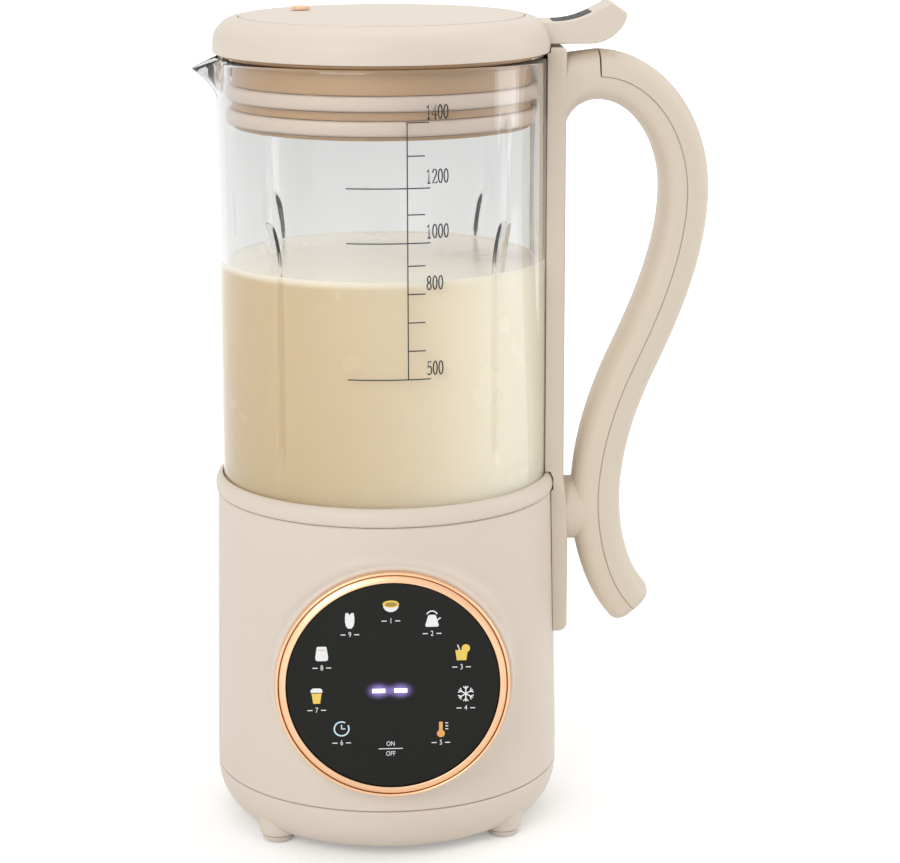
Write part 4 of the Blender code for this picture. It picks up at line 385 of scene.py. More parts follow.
# %% The finishes by material slot
FINISH = {
    "cream_plastic": finish("cream plastic", (0.720, 0.628, 0.532), (0.752, 0.662, 0.566), gloss=(0.42, 0.50),
                            Specular_IOR_Level=0.4),
    "tan_plastic": finish("tan plastic", (0.420, 0.248, 0.118), (0.465, 0.285, 0.145)),
    "pale_silicone": finish("pale silicone", (0.600, 0.480, 0.395), (0.650, 0.530, 0.440), gloss=(0.5, 0.62)),
    "black_plastic": finish("black plastic", (0.012, 0.012, 0.012), (0.022, 0.022, 0.022), relief=0.15),
    "foot_rubber": finish("foot rubber", (0.68, 0.60, 0.51), (0.74, 0.66, 0.57), gloss=(0.7, 0.85),
                          relief=0.2),
    "seal_rubber": finish("seal rubber", (0.010, 0.010, 0.010), (0.020, 0.020, 0.020), gloss=(0.6, 0.8)),
    "grip_rubber": finish("grip rubber", (0.060, 0.060, 0.064), (0.085, 0.085, 0.090), gloss=(0.65, 0.8),
                          relief=0.2),
    "steel": finish("brushed steel", (0.46, 0.46, 0.45), (0.60, 0.60, 0.59), drift=60.0, gloss=(0.22, 0.36),
                    grain=500.0, stretch=(1.0, 1.0, 14.0), Metallic=1.0),
    "cast_aluminium": finish("cast aluminium", (0.48, 0.49, 0.50), (0.62, 0.63, 0.64), gloss=(0.4, 0.6),
                             grain=900.0, relief=0.2, Metallic=1.0),
    "lamination_steel": finish("lamination steel", (0.10, 0.10, 0.11), (0.22, 0.22, 0.23), gloss=(0.4, 0.6),
                               grain=300.0, relief=0.5, stretch=(0.3, 0.3, 7.0), Metallic=0.8),
    "copper_winding": finish("copper winding", (0.38, 0.12, 0.04), (0.58, 0.22, 0.08), gloss=(0.25, 0.45),
                             grain=260.0, relief=0.6, stretch=(1.0, 1.0, 7.0), Metallic=1.0),
    "circuit_board": finish("circuit board", (0.006, 0.060, 0.025), (0.016, 0.110, 0.045), drift=160.0,
                            gloss=(0.3, 0.5), grain=500.0),
    "white_plastic": finish("white plastic", (0.66, 0.66, 0.64), (0.72, 0.72, 0.70)),
    "peach_plastic": finish("peach plastic", (0.82, 0.52, 0.31), (0.88, 0.60, 0.38), gloss=(0.3, 0.4)),
    "rose_gold": finish("rose gold", (0.86, 0.53, 0.31), (0.90, 0.59, 0.37), drift=30.0, gloss=(0.30, 0.38),
                        grain=700.0, relief=0.02, stretch=(6.0, 1.0, 1.0), Metallic=1.0),
}
# The body's cream plastic painted darker for the handle: painted shade.
SHADED_HANDLE_CREAM = finish("shaded handle cream", (0.695, 0.600, 0.485), (0.727, 0.634, 0.517), gloss=(0.42, 0.50),
                      Specular_IOR_Level=0.4)
print(len(FINISH) + 1, "plain finishes")

# %% [markdown]
# ### Glass
# Borosilicate glass is clear with a faint grey cast that only shows where a ray passes through a
# lot of it. A real jug lets lamp light through to what it holds. A path tracer finds such light
# only with difficulty, so the shader turns transparent for shadow rays. Faint ripples in the
# surface keep the reflections from looking computed.

# %% Clear glass
def clear_glass():
    made = finish("clear glass", (0.935, 0.940, 0.930), (0.955, 0.960, 0.950), drift=9.0, gloss=(0.0, 0.015),
                  grain=14.0, relief=0.10, IOR=1.47, Transmission_Weight=1.0)
    tree = made.node_tree
    shadow = add_node(tree, "LightPath").outputs["Is Shadow Ray"]
    glass = tree.nodes["Principled BSDF"].outputs["BSDF"]
    clear = add_node(tree, "BsdfTransparent", {"Color": (0.93, 0.95, 0.95)}).outputs["BSDF"]
    show(made, add_node(tree, "MixShader", {"Fac": shadow, 1: glass, 2: clear}).outputs["Shader"])
    return made


FINISH["clear_glass"] = clear_glass()

# %% [markdown]
# ### The dark panel
# The touch panel is tinted glass printed black on its back. Its two lit dashes shine through
# and leave a soft violet bloom round them. The bloom is a falloff from two points on the panel,
# worked out from Object coordinates, so it stays in place from every side.

# %% Panel glass with its bloom
PANEL_MIDDLE = (0.0, 69.7)
PANEL_FRONT = -68.9
DASHES = ((-5.1, -1.8), (2.7, -1.8))
BLOOM_ACROSS, BLOOM_UP, BLOOM_FADE = 140.0, 200.0, 2.2


def panel_glass():
    made = finish("panel black glass", (0.010, 0.010, 0.009), (0.014, 0.014, 0.012), drift=30.0,
                  gloss=(0.20, 0.26), grain=900.0, relief=0.004, Specular_IOR_Level=0.16,
                  Emission_Strength=1.0)
    tree = made.node_tree
    where = object_place(tree)
    glows = []
    for across, up in DASHES:
        centre = spot(PANEL_MIDDLE[0] + across, PANEL_FRONT, PANEL_MIDDLE[1] + up)
        place = add_node(tree, "Mapping", {
            "Vector": where,
            "Scale": (BLOOM_ACROSS, 0.0, BLOOM_UP),
            "Location": (-centre.x * BLOOM_ACROSS, 0.0, -centre.z * BLOOM_UP),
        }).outputs["Vector"]
        away = add_node(tree, "VectorMath", {0: place}, operation="LENGTH").outputs["Value"]
        glows.append(ramp(tree, away, 1.0, 0.0, curve="SMOOTHERSTEP"))
    glow = reckon(tree, "POWER", reckon(tree, "ADD", *glows), BLOOM_FADE)
    violet = mixed(tree, glow, (0.0, 0.0, 0.0), (0.34, 0.25, 0.70))
    feed(tree, tree.nodes["Principled BSDF"].inputs["Emission Color"], violet)
    return made


FINISH["panel_black_glass"] = panel_glass()

# %% [markdown]
# ### Milk and inks
# Nut milk scatters light just under its surface, which gives it its soft, warm body, so it gets
# a little subsurface scattering. Its colour is painted darker to one side and paler to the other,
# painted shade and light as the light falls across it. A thin pale froth lies on it, painted paler
# still as light on the top, which the lid shades. The inks are thin and matt. Those on the panel
# are lit from behind, so they shine a little.

# %% Milk
MILK_TOP = 212.0
# Painted shade and light: along this heading the milk runs from a darker shaded side to a paler lit side.
PAINTED_LIGHT_HEADING = Vector((1.0, 0.45, 0.0))
SHADED_SIDE, LIT_SIDE, CLOUDING = -62.0, 40.0, 0.12
# A pale froth band on top, painted paler still as light on the shaded top of the milk.
FROTH_AND_LIGHT_DEPTH, FROTH_AND_LIGHT_FRONT, FROTH_AND_LIGHT_BACK = 3.0, -50.0, 30.0


def nut_milk_finish():
    """The colour runs along a heading from painted shade to painted light, a little clouded; the froth,
    painted paler as light on the top, greys to the back.
    """
    made = finish("nut milk", (0.645, 0.490, 0.275), (0.985, 0.905, 0.745), drift=11.0, gloss=(0.22, 0.30),
                  grain=40.0, relief=0.01, Subsurface_Weight=0.35, Subsurface_Radius=(0.004, 0.003, 0.0015),
                  Subsurface_Scale=1.0)
    tree = made.node_tree
    where = object_place(tree)
    body = tree.nodes["Colour"]
    along = add_node(tree, "VectorMath", {0: where, 1: PAINTED_LIGHT_HEADING}, operation="DOT_PRODUCT").outputs["Value"]
    middle = PAINTED_LIGHT_HEADING.dot(AXIS)
    shade_to_light = ramp(tree, along, middle + SHADED_SIDE * MM, middle + LIT_SIDE * MM, curve="SMOOTHSTEP")
    cloud = body.inputs["Factor"].links[0].from_socket
    feed(tree, body.inputs["Factor"], reckon(tree, "MULTIPLY_ADD", cloud, CLOUDING, shade_to_light))
    apart = add_node(tree, "SeparateXYZ", {"Vector": where}).outputs
    edge = ramp(tree, apart["Z"], (MILK_TOP - FROTH_AND_LIGHT_DEPTH) * MM, (MILK_TOP + 0.1) * MM, curve="SMOOTHSTEP")
    depth = ramp(tree, apart["Y"], AXIS.y + FROTH_AND_LIGHT_FRONT * MM, AXIS.y + FROTH_AND_LIGHT_BACK * MM)
    froth_and_light = mixed(tree, depth, (0.960, 0.880, 0.735), (0.945, 0.880, 0.785))
    topped = mixed(tree, edge, body.outputs["Result"], froth_and_light)
    feed(tree, tree.nodes["Principled BSDF"].inputs["Base Color"], topped)
    return made


MILK = nut_milk_finish()

# %% Inks
SCALE_INK = finish("scale ink", (0.006, 0.006, 0.007), (0.014, 0.014, 0.015), gloss=(0.5, 0.6))


def lit_ink(name, deep, pale, strength):
    return finish(name, deep, pale, drift=300.0, gloss=(0.4, 0.5), Emission_Color=pale,
                  Emission_Strength=strength)


WHITE_INK = lit_ink("white panel ink", (0.70, 0.70, 0.70), (0.78, 0.78, 0.78), 0.16)
YELLOW_INK = lit_ink("yellow panel ink", (0.72, 0.50, 0.07), (0.82, 0.60, 0.12), 0.12)
AMBER_INK = lit_ink("amber panel ink", (0.66, 0.30, 0.08), (0.78, 0.40, 0.12), 0.15)
BROWN_INK = lit_ink("brown panel ink", (0.30, 0.19, 0.04), (0.40, 0.26, 0.07), 0.10)
BLUE_INK = lit_ink("blue panel ink", (0.50, 0.68, 0.78), (0.62, 0.78, 0.86), 0.15)
LED_LIGHT = lit_ink("lit dash", (0.95, 0.93, 1.0), (0.97, 0.95, 1.0), 1.2)
print(len(bpy.data.materials), "materials in all")

# %% Give every carried-over node its finish
SLOT_OF = {part["node"]: part["material_slot"] for part in frame["record"]["subparts"]}
for name, piece in frame["nodes"].items():
    piece.data.materials.clear()
    piece.data.materials.append(FINISH[SLOT_OF[name]])
print("finished", len(SLOT_OF), "nodes")

# %% [markdown]
# ## Base housing
# The housing is one injection moulding: a tall round shell that narrows a little to the top,
# with a deck inside, a seat for the jug and a round boss at the front for the touch panel. It
# could be carved from the frame's solid, but that has coarse facets. It is turned afresh here,
# in more steps, and the boss is a skin whose foot runs out on the housing like the soft radius
# of a mould.

# %% Turn the housing shell
TOP_RADIUS, FOOT_RADIUS = 62.2, 64.2
STRAIGHT_TOP, SHELL_TOP, SHELL_FOOT = 30.0, 125.4, 20.3
WALL = 2.4
SEAT_RADIUS = 60.5
DECK_BORE, DECK_TOP, DECK_UNDER = 44.0, 118.5, 116.1


def shell_radius(height):
    rise = max(0.0, height - STRAIGHT_TOP) / (SHELL_TOP - STRAIGHT_TOP)
    return FOOT_RADIUS + (TOP_RADIUS - FOOT_RADIUS) * rise


housing = turned("housing_shell", [
    (SEAT_RADIUS, SHELL_TOP - 0.3),
    (SEAT_RADIUS, DECK_TOP),
    (DECK_BORE, DECK_TOP),
    (DECK_BORE, DECK_UNDER),
    (shell_radius(DECK_UNDER) - WALL, DECK_UNDER),
    (FOOT_RADIUS - WALL, STRAIGHT_TOP),
    (FOOT_RADIUS - WALL, SHELL_FOOT),
    (FOOT_RADIUS - 0.4, SHELL_FOOT),
    (FOOT_RADIUS, SHELL_FOOT + 0.4),
    *[(shell_radius(height), height) for height in range(31, 125, 3)],
    (TOP_RADIUS, SHELL_TOP - 0.4),
    (TOP_RADIUS - 0.4, SHELL_TOP),
    (SEAT_RADIUS + 0.3, SHELL_TOP),
], back=None)

# %% Lay the panel boss on it
BOSS_FACE, BOSS_RADIUS, BOSS_EDGE, BOSS_BORE = -66.0, 43.3, 1.2, 33.0
FILLET_OUT, FILLET_UP = 4.6, 4.2
SUNK = 1.4
WINDOW_RADIUS = 36.5


def shell_front(across, up):
    """How far behind the axis's plane the housing's front is, at a place seen from the front."""
    return -math.sqrt(shell_radius(up) ** 2 - across ** 2)


def boss_line(angle):
    """From the bore over the boss's face and down its soft foot, and back under the housing's face."""
    along, rise = math.cos(angle), math.sin(angle)

    def at(radius, deep):
        return (radius * along, deep, PANEL_MIDDLE[1] + radius * rise)

    def surface(radius):
        return shell_front(radius * along, PANEL_MIDDLE[1] + radius * rise)

    edge = BOSS_FACE + BOSS_EDGE
    reach = BOSS_RADIUS + FILLET_OUT
    bend = quarter((BOSS_RADIUS - BOSS_EDGE, edge), (BOSS_EDGE, -BOSS_EDGE), 90, 0, 5)
    line = [at(BOSS_BORE, surface(BOSS_BORE) + SUNK), at(BOSS_BORE, BOSS_FACE)]
    line += [at(*point) for point in bend]
    room = surface(BOSS_RADIUS) - edge
    start = Vector((BOSS_RADIUS, surface(BOSS_RADIUS) - min(FILLET_UP, room * 0.92)))
    corner = Vector((BOSS_RADIUS + 0.2, surface(BOSS_RADIUS) - 0.15))
    end = Vector((reach, surface(reach) + 0.12))
    for share in (0.0, 0.12, 0.25, 0.38, 0.5, 0.62, 0.75, 0.88, 1.0):
        point = start * (1 - share) ** 2 + corner * 2 * share * (1 - share) + end * share ** 2
        line.append(at(*point))
    line += [at(reach, surface(reach) + SUNK - 0.1), at(BOSS_RADIUS, surface(BOSS_RADIUS) + SUNK)]
    return [*line, line[0]]


boss = [boss_line(2 * math.pi * index / 160) for index in range(160)]
fuse(housing, skin("panel_boss", [*boss, boss[0]], wraps=False, caps=False))
window = [(0.0, deep, PANEL_MIDDLE[1]) for deep in (-58.0, -75.0)]
trim(housing, rod("panel_window", WINDOW_RADIUS, *window, steps=96))

# %% [markdown]
# At the back the housing has a flat pad for the power inlet, as such bases do, since a flat
# flange can't seal on a round wall.

# %% Inlet pad and window
INLET_UP = 38.0


def inlet_block(name, wide, tall, start, end):
    """A block round the inlet's middle, of a width and a height, from one depth to another."""
    return box(name, (-wide / 2, start, INLET_UP - tall / 2), (wide / 2, end, INLET_UP + tall / 2))


fuse(housing, soften(inlet_block("inlet_pad", 35.0, 29.0, 58.5, 65.0), 2.2, 4))
trim(housing, inlet_block("inlet_window", 28.2, 20.6, 50.0, 70.0))
settle(housing, "machine", "cream_plastic", ["base_housing"], 40.0)

# %% [markdown]
# ## Bottom cover
# The lower shell closes the base. It curves in under the housing like a bowl, so the machine
# seems to float, and it stands on four lugs that carry the screws. It is turned like the
# housing, and has eight slots in its floor through which the fan draws air.

# %% Turn the cover
cover = turned("lower_cover", [
    (51.0, 2.5),
    *quarter((51.0, 19.6), (13.2, 17.1), -86, 0, 22),
    (64.0, 19.9),
    (63.7, 20.0),
    (61.5, 20.0),
    (61.5, 23.0),
    (59.7, 23.0),
    (59.7, 17.8),
    *quarter((51.0, 20.0), (11.0, 15.3), -10, -90, 8),
])

# %% Stand it on four lugs and cut the slots
LUG_CIRCLE, LUG_ANGLE = 54.5, 40.0
WELL_RADIUS, CUT_FOOT, CUT_TOP = 3.5, -1.0, 9.0
SLOT_START, SLOT_END, SLOT_HALF = 19.5, 34.5, 1.5
CORNERS = {
    "front_right": -LUG_ANGLE,
    "rear_right": LUG_ANGLE,
    "rear_left": 180.0 - LUG_ANGLE,
    "front_left": LUG_ANGLE - 180.0,
}
for corner, angle in CORNERS.items():
    fuse(cover, turned(f"lug_{corner}", [
        (6.2, 2.3),
        *quarter((6.0, 3.3), (1.0, 1.0), -60, 0, 4),
        (7.0, 8.0),
        (7.0, 16.0),
    ], steps=SMALL_ROUND, centre=spot(*around(LUG_CIRCLE, angle))))
    well = [around(LUG_CIRCLE, angle, height) for height in (CUT_FOOT, CUT_TOP)]
    trim(cover, rod(f"screw_well_{corner}", WELL_RADIUS, *well))
for index in range(8):
    slot = box(f"air_slot_{index}", (SLOT_START, -SLOT_HALF, CUT_FOOT), (SLOT_END, SLOT_HALF, CUT_TOP))
    pick(slot)
    bpy.context.scene.cursor.location = AXIS
    bpy.ops.object.origin_set(type="ORIGIN_CURSOR")
    slot.rotation_euler = (0.0, 0.0, math.radians(45.0 * index))
    trim(cover, slot)
settle(cover, "machine", "cream_plastic", ["bottom_cover"], 40.0)

# %% Feet
for corner, angle in CORNERS.items():
    foot = turned(f"pad_{corner}", [
        (5.2, 0.0),
        *quarter((5.0, 0.8), (0.8, 0.8), -70, 0, 5),
        *quarter((5.2, 1.4), (0.6, 0.6), 0, 90, 4),
        (3.2, 2.0),
        (3.2, 5.4),
    ], steps=SMALL_ROUND, centre=spot(*around(LUG_CIRCLE, angle)))
    settle(foot, "machine", "foot_rubber", [f"foot_{corner}"])

# %% [markdown]
# ## Touch panel
# The ring round the panel is drawn metal with a rounded crown, gilded a warm rose. A small groove
# in its face holds a thin black band, painted shade for the groove. Its glass is a flat disc set a
# little below the crown.

# %% Ring, line and glass
RING_BACK, GROOVE_SHADE_BACK, GLASS_BACK = 66.3, 68.4, 67.3


def face_front(piece, forward):
    """Turns a piece that was made lying on the axis to the front, its foot at a depth on the panel."""
    pick(piece)
    piece.rotation_euler = (math.radians(90.0), 0.0, 0.0)
    piece.location = spot(PANEL_MIDDLE[0], -forward, PANEL_MIDDLE[1])
    bpy.ops.object.transform_apply(location=True, rotation=True, scale=True)


ring = turned("gilded_ring", [
    (41.7, RING_BACK),
    (41.7, 68.0),
    *quarter((41.2, 68.6), (0.5, 0.6), 0, 150, 8),
    (40.7, 68.5),
    (40.55, 68.45),
    (40.4, 68.75),
    (40.2, 69.0),
    (38.5, 69.45),
    *quarter((38.3, 69.2), (0.3, 0.3), 80, 180, 6),
    (38.0, 67.0),
    (36.8, 67.0),
    (36.8, RING_BACK),
], back=None)
face_front(ring, RING_BACK)
settle(ring, "machine", "rose_gold", ["panel_ring"], 40.0)

# A thin black band laid in the ring's groove: painted shade for the groove.
line = turned("ring_groove_shade", [(40.80, GROOVE_SHADE_BACK), (40.80, 68.56), (40.52, 68.56), (40.52, GROOVE_SHADE_BACK)])
face_front(line, GROOVE_SHADE_BACK)
settle(line, "machine", "rose_gold", angle=40.0, material=FINISH["seal_rubber"])

plate = turned("touch_glass", [(37.7, GLASS_BACK), (37.7, 68.75), (37.55, 68.9)])
face_front(plate, GLASS_BACK)
settle(plate, "machine", "panel_black_glass", ["panel_glass"])

# %% [markdown]
# ### Signs on the panel
# The signs are silk-screened: thin even lines with a few filled shapes. Each line starts as a
# curve with a round bevel, which is turned into a mesh and pressed flat on the glass. All signs
# are plain pictures of a drink or a step, and numbered 1 to 9, so anyone can read them.

# %% Strokes as a flat mesh
def drawn(name, strokes, width, thick):
    """Strokes of (across, up) points as a flattened mesh. A stroke that ends on its first point closes."""
    curve = bpy.data.curves.new(name, "CURVE")
    curve.dimensions = "3D"
    curve.bevel_depth = width / 2 * MM
    curve.bevel_resolution = 2
    curve.use_fill_caps = True
    for points in strokes:
        closes = points[0] == points[-1]
        points = points[:-1] if closes else points
        spline = curve.splines.new("POLY")
        spline.points.add(len(points) - 1)
        for point, (across, up) in zip(spline.points, points):
            point.co = (across * MM, 0.0, up * MM, 1.0)
        spline.use_cyclic_u = closes
    drawing = bpy.data.objects.new(name, curve)
    bpy.context.scene.collection.objects.link(drawing)
    pick(drawing)
    bpy.ops.object.convert(target="MESH")
    piece = bpy.context.object
    piece.scale = (1.0, thick / width, 1.0)
    bpy.ops.object.transform_apply(location=False, rotation=False, scale=True)
    return piece


# %% Inks on the panel
INK_FRONT = 68.93
INK_THICK = 0.06
CAPITAL_SHARE, NARROWED = 0.7, 0.8


def print_on(piece, at, ink, lift=0.0):
    """Lays a drawing on the panel, at a place from its middle and some way over other inks."""
    piece.location = spot(PANEL_MIDDLE[0] + at[0], -INK_FRONT - lift, PANEL_MIDDLE[1] + at[1])
    settle(piece, "machine", "panel_black_glass", material=ink)


def ink_lines(name, at, strokes, width, ink, lift=0.0):
    print_on(drawn(name, strokes, width, INK_THICK), at, ink, lift)


def ink_shape(name, at, outline, ink, lift=0.0):
    print_on(slab(name, outline, INK_THICK / 2, front=0.0), at, ink, lift)


def ink_text(name, at, words, height):
    """Flat lettering of a height, centred on a place."""
    begin()
    bpy.ops.object.text_add(location=AXIS)
    text = named(name).data
    text.body = words
    text.size = height / CAPITAL_SHARE * MM
    text.extrude = 0.02 * MM
    text.align_x = "CENTER"
    text.align_y = "CENTER"
    bpy.ops.object.convert(target="MESH")
    piece = bpy.context.object
    piece.scale = (NARROWED, 1.0, 1.0)
    piece.rotation_euler = (math.radians(90.0), 0.0, 0.0)
    print_on(piece, at, WHITE_INK)


def mirrored(right):
    """A whole even outline from the points of its right half, from the foot up."""
    return [*right, *[(-across, up) for across, up in reversed(right)]]


# %% The two lit dashes
for index, place in enumerate(DASHES):
    ink_shape(f"lit_dash_{index}", place, mirrored([(2.3, -0.75), (2.3, 0.75)]), LED_LIGHT, 0.02)

# %% Bowl, bottle and kettle along the top
bowl = (-0.6, 29.3)
round_foot = quarter((0, 0.6), (2.75, 2.6125), 180, 360, 20)
ink_shape("bowl_body", bowl, [*round_foot, (2.75, 0.9), (-2.75, 0.9)], WHITE_INK)
ink_shape("bowl_rim", bowl, oval((0, 0.9), (2.9, 1.334), 28), YELLOW_INK, 0.02)
ink_shape("bowl_food", bowl, oval((0.1, 0.75), (2.2, 0.836), 28), BROWN_INK, 0.04)
bottle = (-15.1, 24.5)
ink_shape("bottle_body", bottle, [
    (-0.7, -3.0), (0.7, -3.0), (0.8, -2.7), (1.3, -2.2), (1.65, -0.6), (1.65, 1.2),
    (1.4, 2.7), (0.5, 2.7), (0.2, 2.0), (-0.4, 2.3), (-0.6, 2.8), (-1.4, 2.7),
    (-1.65, 1.2), (-1.65, -0.6), (-1.3, -2.2), (-0.8, -2.7),
], WHITE_INK)
kettle = (13.9, 24.4)
ink_shape("kettle_body", kettle, mirrored([(2.0, -2.8), (2.4, -2.3), (1.4, 1.2), (0.9, 1.6)]), WHITE_INK)
ink_lines("kettle_handle", kettle, [
    quarter((0, 1.2), (1.9, 1.805), 20, 160, 14),
    [(1.7, -0.6), (2.6, 0.3), (3.1, 0.4)],
], 0.45, WHITE_INK)

# %% Glasses at the sides
jar = (-25.1, 12.4)
jar_side = [(1.7, -2.7), (2.2, -2.2), (2.25, -1.2), (1.75, 2.2), (1.5, 2.6)]
ink_shape("jar_body", jar, mirrored(jar_side), WHITE_INK)
ink_lines("jar_level", jar, [[(-1.35, 1.3), (1.35, 1.3)]], 0.22, AMBER_INK, 0.03)
juice = (24.3, 11.8)
ink_shape("juice_body", juice, mirrored([(1.7, -2.8), (2.2, 1.0)]), YELLOW_INK)
ink_shape("juice_slice", juice, oval((1.5, 1.6), (1.5, 1.5), 20), YELLOW_INK, 0.01)
ink_lines("juice_straw", juice, [[(-0.6, 0.8), (-1.4, 3.0)]], 0.4, WHITE_INK, 0.03)
cup = (-27.1, -3.3)
ink_shape("cup_body", cup, mirrored([(1.2, -2.8), (1.8, 1.0)]), YELLOW_INK)
ink_shape("cup_foam", cup, mirrored([(2.1, 1.3), (2.0, 2.4), (1.2, 2.9)]), WHITE_INK)

# %% Flake, clock and thermometer
flake = (25.8, -3.5)
arms = []
for index in range(6):
    way = Vector(around(1.0, 60.0 * index + 30.0)).to_2d()
    side = way.orthogonal() * 0.9
    arms.append([tuple(way * 2.7 + side), tuple(way * 1.8), tuple(way * 2.7 - side)])
    if index < 3:
        arms.append([tuple(way * -2.9), tuple(way * 2.9)])
ink_lines("flake", flake, arms, 0.42, WHITE_INK)
clock = (-18.4, -15.7)
ink_lines("clock_ring", clock, [quarter((0, 0), (2.6, 2.6), 60, 390, 40)], 0.5, BLUE_INK)
ink_lines("clock_hands", clock, [[(0, 1.5), (0, 0), (1.3, 0)]], 0.45, BLUE_INK)
heat = (16.9, -16.3)
ink_lines("heat_stem", heat, [[(0, -1.6), (0, 2.5)]], 1.3, AMBER_INK)
ink_shape("heat_bulb", heat, oval((0, -1.9), (1.4, 1.4)), AMBER_INK, 0.02)
ink_lines("heat_marks", heat, [[(1.6, up), (2.6, up)] for up in (-0.2, 0.9, 2.0)], 0.36, WHITE_INK)

# %% Numbers under the signs
LABEL_DROP = 5.3
LABEL_BARS = [[(-3.3, 0), (-1.5, 0)], [(1.5, 0), (3.3, 0)]]
for number, (across, up) in enumerate((bowl, kettle, juice, flake, heat, clock, cup, jar, bottle), 1):
    place = (across, up - LABEL_DROP)
    ink_text(f"label_{number}", place, str(number), 1.9)
    ink_lines(f"label_bars_{number}", place, LABEL_BARS, 0.35, WHITE_INK)
KEY_ACROSS, KEY_UP = -1.0, -23.5
ink_lines("key_line", (KEY_ACROSS, KEY_UP), [[(-4.3, 0), (4.3, 0)]], 0.3, WHITE_INK)
ink_text("key_on", (KEY_ACROSS, KEY_UP + 1.8), "ON", 1.7)
ink_text("key_off", (KEY_ACROSS, KEY_UP - 1.9), "OFF", 1.7)

# %% [markdown]
# ## Power inlet
# A standard three-pin inlet is pressed into the pad at the back: a black flange, a deep socket
# and three flat brass pins, plated bright.

# %% Inlet and pins
PIN_PLACES = ((-7.0, -2.0), (7.0, -2.0), (0.0, 2.0))
PIN_ACROSS, PIN_TALL, PIN_START, PIN_END = 1.0, 2.0, 48.5, 59.9
inlet = soften(inlet_block("inlet_flange", 32.0, 26.0, 65.3, 66.9), 0.5)
fuse(inlet, inlet_block("inlet_case", 27.6, 20.0, 47.3, 66.6))
well = inlet_block("inlet_well", 24.4, 16.8, 48.9, 72.0)
trim(inlet, shaped(well, "BEVEL", width=2.4 * MM, segments=5, limit_method="NONE"))
for index, (across, up) in enumerate(PIN_PLACES):
    low = (across - PIN_ACROSS, PIN_START, INLET_UP + up - PIN_TALL)
    high = (across + PIN_ACROSS, PIN_END, INLET_UP + up + PIN_TALL)
    settle(soften(box(f"inlet_pin_{index}", low, high), 0.4), "machine", "steel")
settle(inlet, "machine", "black_plastic", ["power_inlet"])

# %% [markdown]
# ## Jug and collar
# The jug is blown and pressed borosilicate glass, 3.2 mm thick. Four ribs are pressed into its
# side to throw the drink back into the blades, and a spout is drawn out of its rim. It is one
# skin that runs up the outside, over the rounded rim, down the inside and under the foot. More
# columns stand where the ribs and the spout bend it.

# %% Ribs and spout
JUG_RADIUS, JUG_WALL = 60.0, 3.2
JUG_FOOT, JUG_RIM = 122.2, 285.7
RIB_ANGLES = {229.0: -1, 311.0: 1, 49.0: -1, 131.0: 1}
RIB_HALF = math.degrees(2.8 / JUG_RADIUS)
RIB_DEPTH = 0.85
RIB_LEAN, RIB_LEAN_HEIGHT = 4.2, 22.0
RIB_FOOT, RIB_TOP, RIB_END = JUG_FOOT + 22.0, JUG_FOOT + 109.5, 7.0
SPOUT_HALF = math.degrees(15.5 / JUG_RADIUS)
SPOUT_FOOT = JUG_RIM - 14.5
SPOUT_REACH, SPOUT_DROP, SPOUT_THINNING = 8.9, 4.5, 0.62


def rib_dent(angle, height):
    """How deep a rib is pressed at a place. Its top leans away from the middle of the jug's side."""
    lean = RIB_LEAN * max(0.0, 1.0 - (RIB_TOP - height) / RIB_LEAN_HEIGHT) ** 2
    off = min(abs(angle - middle - side * lean) for middle, side in RIB_ANGLES.items()) / RIB_HALF
    ends = min(height - RIB_FOOT, RIB_TOP - height) / RIB_END
    if off >= 1.0 or ends <= 0.0:
        return 0.0
    return RIB_DEPTH * math.cos(off * math.pi / 2) ** 2 * math.sin(min(1.0, ends) * math.pi / 2)


def spout_lead(angle):
    return math.cos(min(1.0, abs(angle - 180.0) / SPOUT_HALF) * math.pi / 2) ** 2


def glass_point(angle, height, inward):
    """A point on the glass some way in from its outer face, below the spout or on it."""
    rise = max(0.0, (height - SPOUT_FOOT) / (JUG_RIM - SPOUT_FOOT))
    flow = spout_lead(angle) * rise ** 1.35
    wall = inward * (1.0 - SPOUT_THINNING * flow)
    radius = JUG_RADIUS - rib_dent(angle, height) + SPOUT_REACH * flow - wall
    return around(radius, angle, height - SPOUT_DROP * flow)


# %% Columns and rows of the glass
def evenly(start, end, steps):
    """Places from a start towards an end, which isn't one of them."""
    return [start + (end - start) * step / steps for step in range(steps)]


COLUMN_TURN = 1.5
RIB_COLUMNS, SPOUT_COLUMNS = 26, 16


def glass_angles():
    angles = {round(COLUMN_TURN * index, 4) for index in range(240)}
    for middle, side in RIB_ANGLES.items():
        first, last = sorted((middle - side * RIB_HALF, middle + side * (RIB_HALF + RIB_LEAN)))
        angles = {angle for angle in angles if angle < first - 0.3 or angle > last + 0.3}
        angles |= {round(first + (last - first) * step / RIB_COLUMNS, 4) for step in range(RIB_COLUMNS + 1)}
    spout_steps = range(-SPOUT_COLUMNS, SPOUT_COLUMNS + 1)
    angles |= {round(180.0 + SPOUT_HALF * step / SPOUT_COLUMNS, 4) for step in spout_steps}
    ordered = sorted(angles)
    return [angle for before, angle in zip([-1.0, *ordered], ordered) if angle - before > 0.2]


RIM_ROUND = JUG_WALL / 2
GLASS_ANGLES = glass_angles()
GLASS_HEIGHTS = [
    JUG_FOOT + 1.0,
    JUG_FOOT + 12.0,
    *evenly(RIB_FOOT, RIB_FOOT + RIB_END, 8),
    *evenly(RIB_FOOT + RIB_END, RIB_TOP - RIB_LEAN_HEIGHT, 7),
    *evenly(RIB_TOP - RIB_LEAN_HEIGHT, RIB_TOP - RIB_END, 8),
    *evenly(RIB_TOP - RIB_END, RIB_TOP, 8),
    RIB_TOP,
    *evenly(SPOUT_FOOT, JUG_RIM - RIM_ROUND, 14),
    JUG_RIM - RIM_ROUND,
]
print(len(GLASS_ANGLES), "columns and", len(GLASS_HEIGHTS), "rows on each face")

# %% Glass as one skin
def glass_row(height, inward):
    return [glass_point(angle, height, inward) for angle in GLASS_ANGLES]


